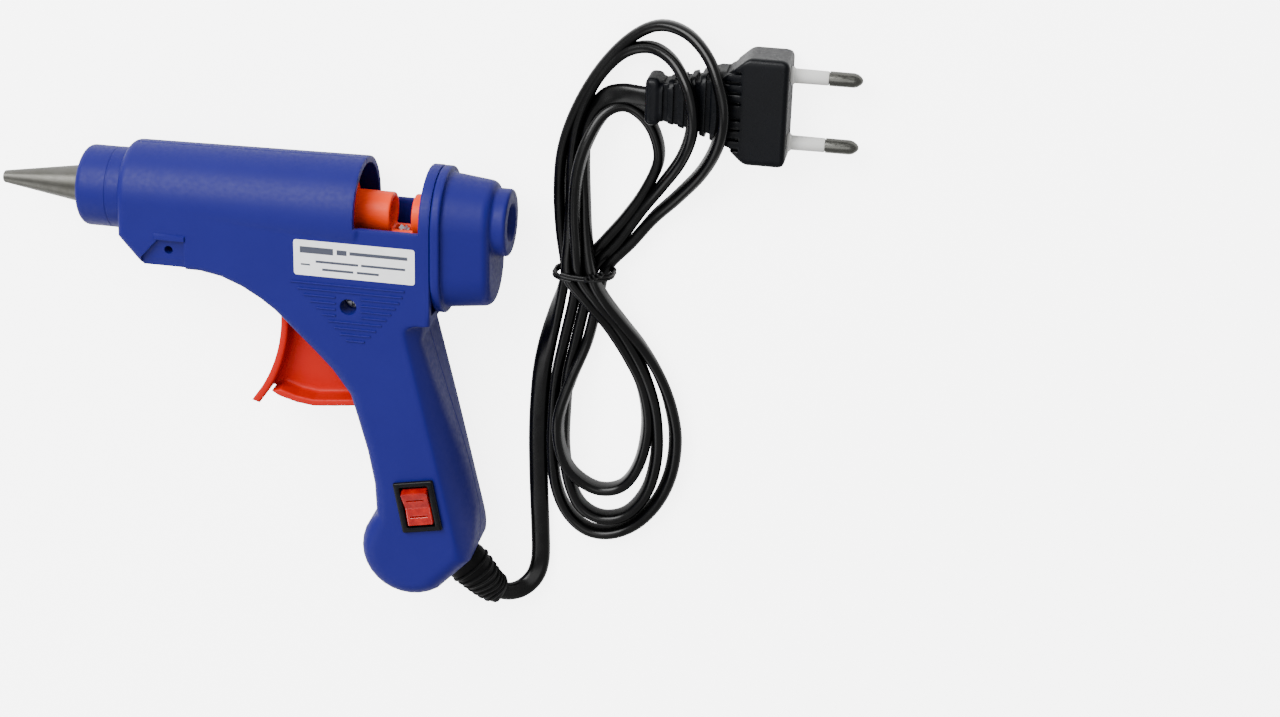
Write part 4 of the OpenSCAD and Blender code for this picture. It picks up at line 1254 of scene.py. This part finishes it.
class GUN_OT_shells(bpy.types.Operator):
    """Model the two halves of the gun's body, with the finger ribs under the label"""

    bl_idname = "gun.shells"
    bl_label = "Shells"

    def execute(self, context):
        paint = finishes(context)["gun shell plastic"]
        for name, side, node in (
            ("shell_left", 1, "left_shell"), ("shell_right", -1, "right_shell"),
        ):
            z = (-0.8, 16.2) if side > 0 else (-16.2, 0.8)
            made = grown(
                name, shell_form(context, side), (36, -115, z[0]), (140, 17, z[1]), CELL_SHELL,
                "body", paint, "shell_blue",
            )
            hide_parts(node)
        pitch, high = gun_mm(context, "rib_pitch"), gun_mm(context, "rib_height")
        bars, half, many, gap = [], gun_mm(context, "half_width"), 10, 3.6
        for i in range(many):
            y = -17.4 - pitch * i
            t = i / (many - 1)
            x0, x1 = 87.2 + 15.6 * t ** 0.95, 119.4 - 11.4 * t ** 1.35
            if abs(y - SCREW[1]) < 3.5:  # a rib that meets the screw's recess leaves a gap for it
                bars += [(x0, SCREW[0] - gap, y), (SCREW[0] + gap, x1, y)]
            else:
                bars.append((x0, x1, y))
        bars = [b for b in bars if b[1] - b[0] > 1]  # stubs under 1 mm are left out
        for side, name in ((1, "ribs_left"), (-1, "ribs_right")):
            mesh = bars_tree().run(
                seeds(
                    name + "_seeds", [to_row([(a + b) / 2, y, side * half]) for a, b, y in bars],
                    [(b - a, 0.62, 2 * high) for a, b, _ in bars],
                ),
                {"Sides": 10, "Material": paint},
            )
            made = finish_mesh(name, mesh, "body", paint)
            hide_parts("left_shell" if side > 0 else "right_shell")
        return {"FINISHED"}


class GUN_OT_nose(bpy.types.Operator):
    """Turn the nose ring and the nozzle"""

    bl_idname = "gun.nose"
    bl_label = "Nose Ring and Nozzle"

    def execute(self, context):
        paint = finishes(context)
        r = gun_mm(context, "ring_radius")
        front = [
            (X_NOSE + 2 * (1 - math.cos(a)), r - 2 + 2 * math.sin(a))
            for a in np.linspace(0, math.pi / 2, 8)
        ]
        ring = (
            [(26.6, 6.2), (24.9, 6.2), (X_NOSE, 6.6)] + front
            + [(33.3, r), (33.45, r - 0.12), (33.75, r - 0.12), (33.9, r + 0.04)]
            + [(X_BODY, r + 0.06), (X_BODY, r - 1.6), (26.6, r - 1.6)]
        )
        points, faces = turned(ring, 128)
        blue = paint["gun shell plastic"]
        made = piece("nose_collar", to_row(points), faces, "body", blue, "shell_blue")
        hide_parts("nose_ring")
        tip, many = [(0.0, 0.8), (0.0, 1.45), (0.3, 1.75)], 40
        for i in range(many + 1):
            x = 0.8 + 22.6 * i / many
            mark = 0.035 if i % 2 else 0.0  # turning marks stand this far out
            tip.append((x, 1.8 + (5.35 - 1.8) * (x - 0.8) / 22.8 + mark))
        tip += [
            (23.8, 5.4), (24.0, 5.88), (26.7, 5.88), (26.7, 4.0), (32.7, 4.0), (32.7, 2.6),
            (18.5, 2.6), (8.0, 0.8),
        ]
        points, faces = turned(tip, 96)
        bare = paint["gun nozzle metal"]
        made = piece("nozzle_tip", to_row(points), faces, "body", bare, "nozzle_metal", 25)
        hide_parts("nozzle")
        return {"FINISHED"}


class GUN_OT_cap(bpy.types.Operator):
    """Model the rear cap that the stick goes in by"""

    bl_idname = "gun.cap"
    bl_label = "Rear Cap"

    def execute(self, context):
        made = grown(
            "cap_rear", cap_form(), (122.4, -28.6, -15), (147.2, 15.4, 15), CELL_PART,
            "body", finishes(context)["gun shell plastic"], "shell_blue",
        )
        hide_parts("rear_cap")
        return {"FINISHED"}


class GUN_OT_feeder(bpy.types.Operator):
    """Model the stick feeder that the trigger pushes"""

    bl_idname = "gun.feeder"
    bl_label = "Stick Feeder"

    def execute(self, context):
        paint = finishes(context)
        made = grown(
            "feeder_carriage", feeder_form(context), (90, -15, -10.4), (124.4, 10.4, 10.4),
            CELL_PART, "carriage", paint["gun feeder plastic"], "carriage_orange",
        )
        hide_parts("carriage")
        return {"FINISHED"}


class GUN_OT_trigger(bpy.types.Operator):
    """Model the trigger with its curved finger plate, web and arms"""

    bl_idname = "gun.trigger"
    bl_label = "Trigger"

    def execute(self, context):
        made = grown(
            "trigger_lever", trigger_form(context), (70, -63, -9.2), (108, -5.5, 9.2), CELL_PART,
            "trigger", finishes(context)["gun trigger plastic"], "trigger_orange",
        )
        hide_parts("trigger")
        return {"FINISHED"}


class GUN_OT_switch(bpy.types.Operator):
    """Model the rocker switch in its bezel"""

    bl_idname = "gun.switch"
    bl_label = "Switch"

    def execute(self, context):
        paint = finishes(context)
        half = gun_mm(context, "half_width")
        c, s = math.cos(SWITCH_TILT), math.sin(SWITCH_TILT)
        under = 1.2  # how far the rocker's axis lies under the grip's side

        def place(p):
            x, y, z = np.asarray(p).T
            return to_row(np.stack([
                SWITCH[0] + c * x - s * y, SWITCH[1] + s * x + c * y, half + z
            ], 1))

        def housing(x, y, z):
            f = block(x, y, z, (-5.85, -7.8, 0), (5.85, 7.8, 1.3), 0.45)
            f = np.minimum(f, block(x, y, z, (-4.75, -6.75, -10), (4.75, 6.75, 0.6), 0.3))
            f = cut(f, block(x, y, z, (-4.1, -6.3, -5.5), (4.1, 6.3, 15), 0.3), 0.35)
            return cut(f, np.maximum(np.hypot(y, z + under) - 0.8, np.abs(x) - 6), 0.05)

        made = grown(
            "switch_housing", housing, (-6.6, -8.6, -10.8), (6.6, 8.6, 2.1), CELL_HOUSING,
            "body", paint["gun switch plastic"], "switch_black", place,
        )
        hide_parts("switch_body")
        tilt = math.radians(7)
        side = [(-3, -2.8), (-5.6, 0.8), (-5.1, 3.3), (0, 2.2), (5.1, 3.3), (5.6, 0.8), (3, -2.8)]

        def rocker(x, y, z):
            z = z + under
            v = y * math.cos(tilt) + z * math.sin(tilt)
            w = z * math.cos(tilt) - y * math.sin(tilt)
            f = both(outline_distance(v, w, side), np.abs(x) - 3.8, 0.45)
            groove = np.minimum(np.abs(v - 2.7), np.abs(v + 2.7))
            f = cut(f, np.maximum(both(np.abs(x) - 2.6, groove - 0.22, 0.1), 1.9 - w), 0.15)
            return np.minimum(f, np.maximum(np.hypot(v, w) - 0.75, np.abs(x) - 4.55))

        made = grown(
            "switch_key", rocker, (-5.1, -6.9, -5.2), (5.1, 6.9, 3.6), CELL_ROCKER,
            "rocker", paint["gun rocker plastic"], "rocker_red", place,
        )
        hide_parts("switch_rocker")
        return {"FINISHED"}


class GUN_OT_label(bpy.types.Operator):
    """Lay the label with its plain grey bars, and the screw in its recess"""

    bl_idname = "gun.label"
    bl_label = "Label and Screw"

    def execute(self, context):
        paint = finishes(context)
        half = gun_mm(context, "half_width")
        top = half + 0.12
        corners = [(88.4, -15.2), (122.4, -15.2), (122.4, -4.9), (88.4, -4.9)]
        corners = rounded(corners, [0.9] * 4, 6)
        n = len(corners)
        points = [(x, y, z) for z in (half, top) for x, y in corners]
        flats = [tuple(range(n)), tuple(range(n, 2 * n))]
        points, faces = outwards(to_row(points), flats + belts(2, n))
        made = piece("label_film", points, faces, "body", paint["gun label film"], "label_white")
        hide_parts("label")
        bars = [(90.2, 99.6, -7.7, 1.9), (100.6, 103.4, -7.7, 1.5), (104.2, 120.4, -7.7, 1.0)]
        bars += [(94.6, 106.6, -10.9, 0.7), (107.4, 119.8, -10.9, 0.7)]
        bars += [(96.4, 105.2, -13.1, 0.7), (106.2, 112.4, -13.1, 0.7), (90.4, 93.0, -12.0, 0.5)]
        mesh = bars_tree().run(
            seeds(
                "print_seeds", [to_row([(a + b) / 2, y, top]) for a, b, y, _ in bars],
                [(b - a, h, 0.02) for a, b, _, h in bars],
            ),
            {"Sides": 4, "Material": paint["gun label ink"]},
        )
        made = finish_mesh("label_print", mesh, "body", paint["gun label ink"])
        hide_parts("label")

        def screw(x, y, z):
            f = both(np.hypot(x, y) - 2.2, np.maximum(-z, z - 1.8), 0.35)
            a, b = np.minimum(np.abs(x), np.abs(y)), np.maximum(np.abs(x), np.abs(y))
            up = z - 0.7
            slot = np.maximum(a - 0.33 - 0.12 * up, np.maximum(b - 1.35 - 0.3 * up, -up))
            f = cut(f, slot, 0.08)
            way = (z / 0.9 + np.arctan2(y, x) / (2 * math.pi)) % 1
            thread = np.hypot(x, y) - 1.12 - 0.12 * np.abs(way * 2 - 1)
            return np.minimum(f, np.maximum(thread * 0.8, np.maximum(-18.6 - z, z - 0.2)))

        made = grown(
            "case_screw", screw, (-2.8, -2.8, -19.2), (2.8, 2.8, 2.4), CELL_SCREW, "body",
            paint["gun steel"], "screw_steel",
            lambda p: to_row(np.asarray(p) + [SCREW[0], SCREW[1], half - 7]),
        )
        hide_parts("body_screw")
        return {"FINISHED"}


class GUN_OT_inside(bpy.types.Operator):
    """Wind the return spring and give the parts inside the gun their finishes"""

    bl_idname = "gun.inside"
    bl_label = "Parts Inside"

    def execute(self, context):
        paint = finishes(context)
        low, high = (np.array(v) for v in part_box("return_spring"))
        size = high - low
        carrier = bpy.data.meshes.new("spring_seed")
        carrier.from_pydata([(0, 0, 0)], [], [])
        centre = (low + high) / 2
        start = (float(low[0]) + 0.0005, float(centre[1]), float(centre[2]))
        mesh = coil_tree().run(carrier, {
            "Turns": 5.0, "Radius": 0.0082, "Length": float(size[0]) - 0.0010, "Wire": 0.00045,
            "Place": start, "Material": paint["gun steel"],
        })
        made = finish_mesh("feeder_spring", mesh, "body", paint["gun steel"])
        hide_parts("return_spring")
        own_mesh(made)
        for finish, nodes in {
            "gun chamber metal": ("melt_chamber", "heater_clip", "seal_clamp"),
            "gun ceramic": ("front_support", "rear_support"),
            "gun heater": ("ptc_heater",),
            "gun film": ("heater_insulation",),
            "gun silicone": ("stick_seal",),
            "gun steel": ("drive_pin", "stick_jaw", "jaw_pin", "trigger_pin", "clamp_screws"),
            "gun brass": ("switch_terminals",),
            "gun sleeve plastic": ("wire_sleeves", "cord_clamp"),
            "gun wire brown": ("live_wire", "heater_wire"),
            "gun wire blue": ("neutral_wire",),
            "gun cord plastic": ("cord_tail",),
        }.items():
            for node in nodes:
                solid = frame["nodes"][node]
                solid.data.materials.clear()
                solid.data.materials.append(paint[finish])
        return {"FINISHED"}


class GUN_PT_panel(bpy.types.Panel):
    """Sizes, colours and the pieces of the glue gun"""

    bl_idname = "GUN_PT_panel"
    bl_label = "Glue Gun"
    bl_space_type = "VIEW_3D"
    bl_region_type = "UI"
    bl_category = "Glue Gun"

    def draw(self, context):
        for group in (getattr(context.scene, name) for name in GROUPS):
            box = self.layout.box()
            for name in group.bl_rna.properties.keys():
                if name not in ("rna_type", "name"):
                    box.prop(group, name)
        for step in STEPS:
            self.layout.operator(step.bl_idname)


STEPS = (
    GUN_OT_stage, GUN_OT_relief, GUN_OT_plug, GUN_OT_tie, GUN_OT_lead, GUN_OT_shells, GUN_OT_nose,
    GUN_OT_cap, GUN_OT_feeder, GUN_OT_trigger, GUN_OT_switch, GUN_OT_label, GUN_OT_inside,
)
GROUPS = {"gun_sizes": GunSizes, "lead_sizes": LeadSizes, "gun_colours": GunColours}


def register():
    for kind in (*GROUPS.values(), *STEPS, GUN_PT_panel):
        bpy.utils.register_class(kind)
    for name, kind in GROUPS.items():
        setattr(bpy.types.Scene, name, bpy.props.PointerProperty(type=kind))


def unregister():
    for name in GROUPS:
        delattr(bpy.types.Scene, name)
    for kind in (GUN_PT_panel, *reversed(STEPS), *reversed(GROUPS.values())):
        bpy.utils.unregister_class(kind)


def main():
    register()
    for step in STEPS:
        made = getattr(bpy.ops.gun, step.bl_idname.split(".")[1])()
        if made != {"FINISHED"}:
            raise RuntimeError(step.bl_label + " wasn't made")


if __name__ == "__main__":
    main()
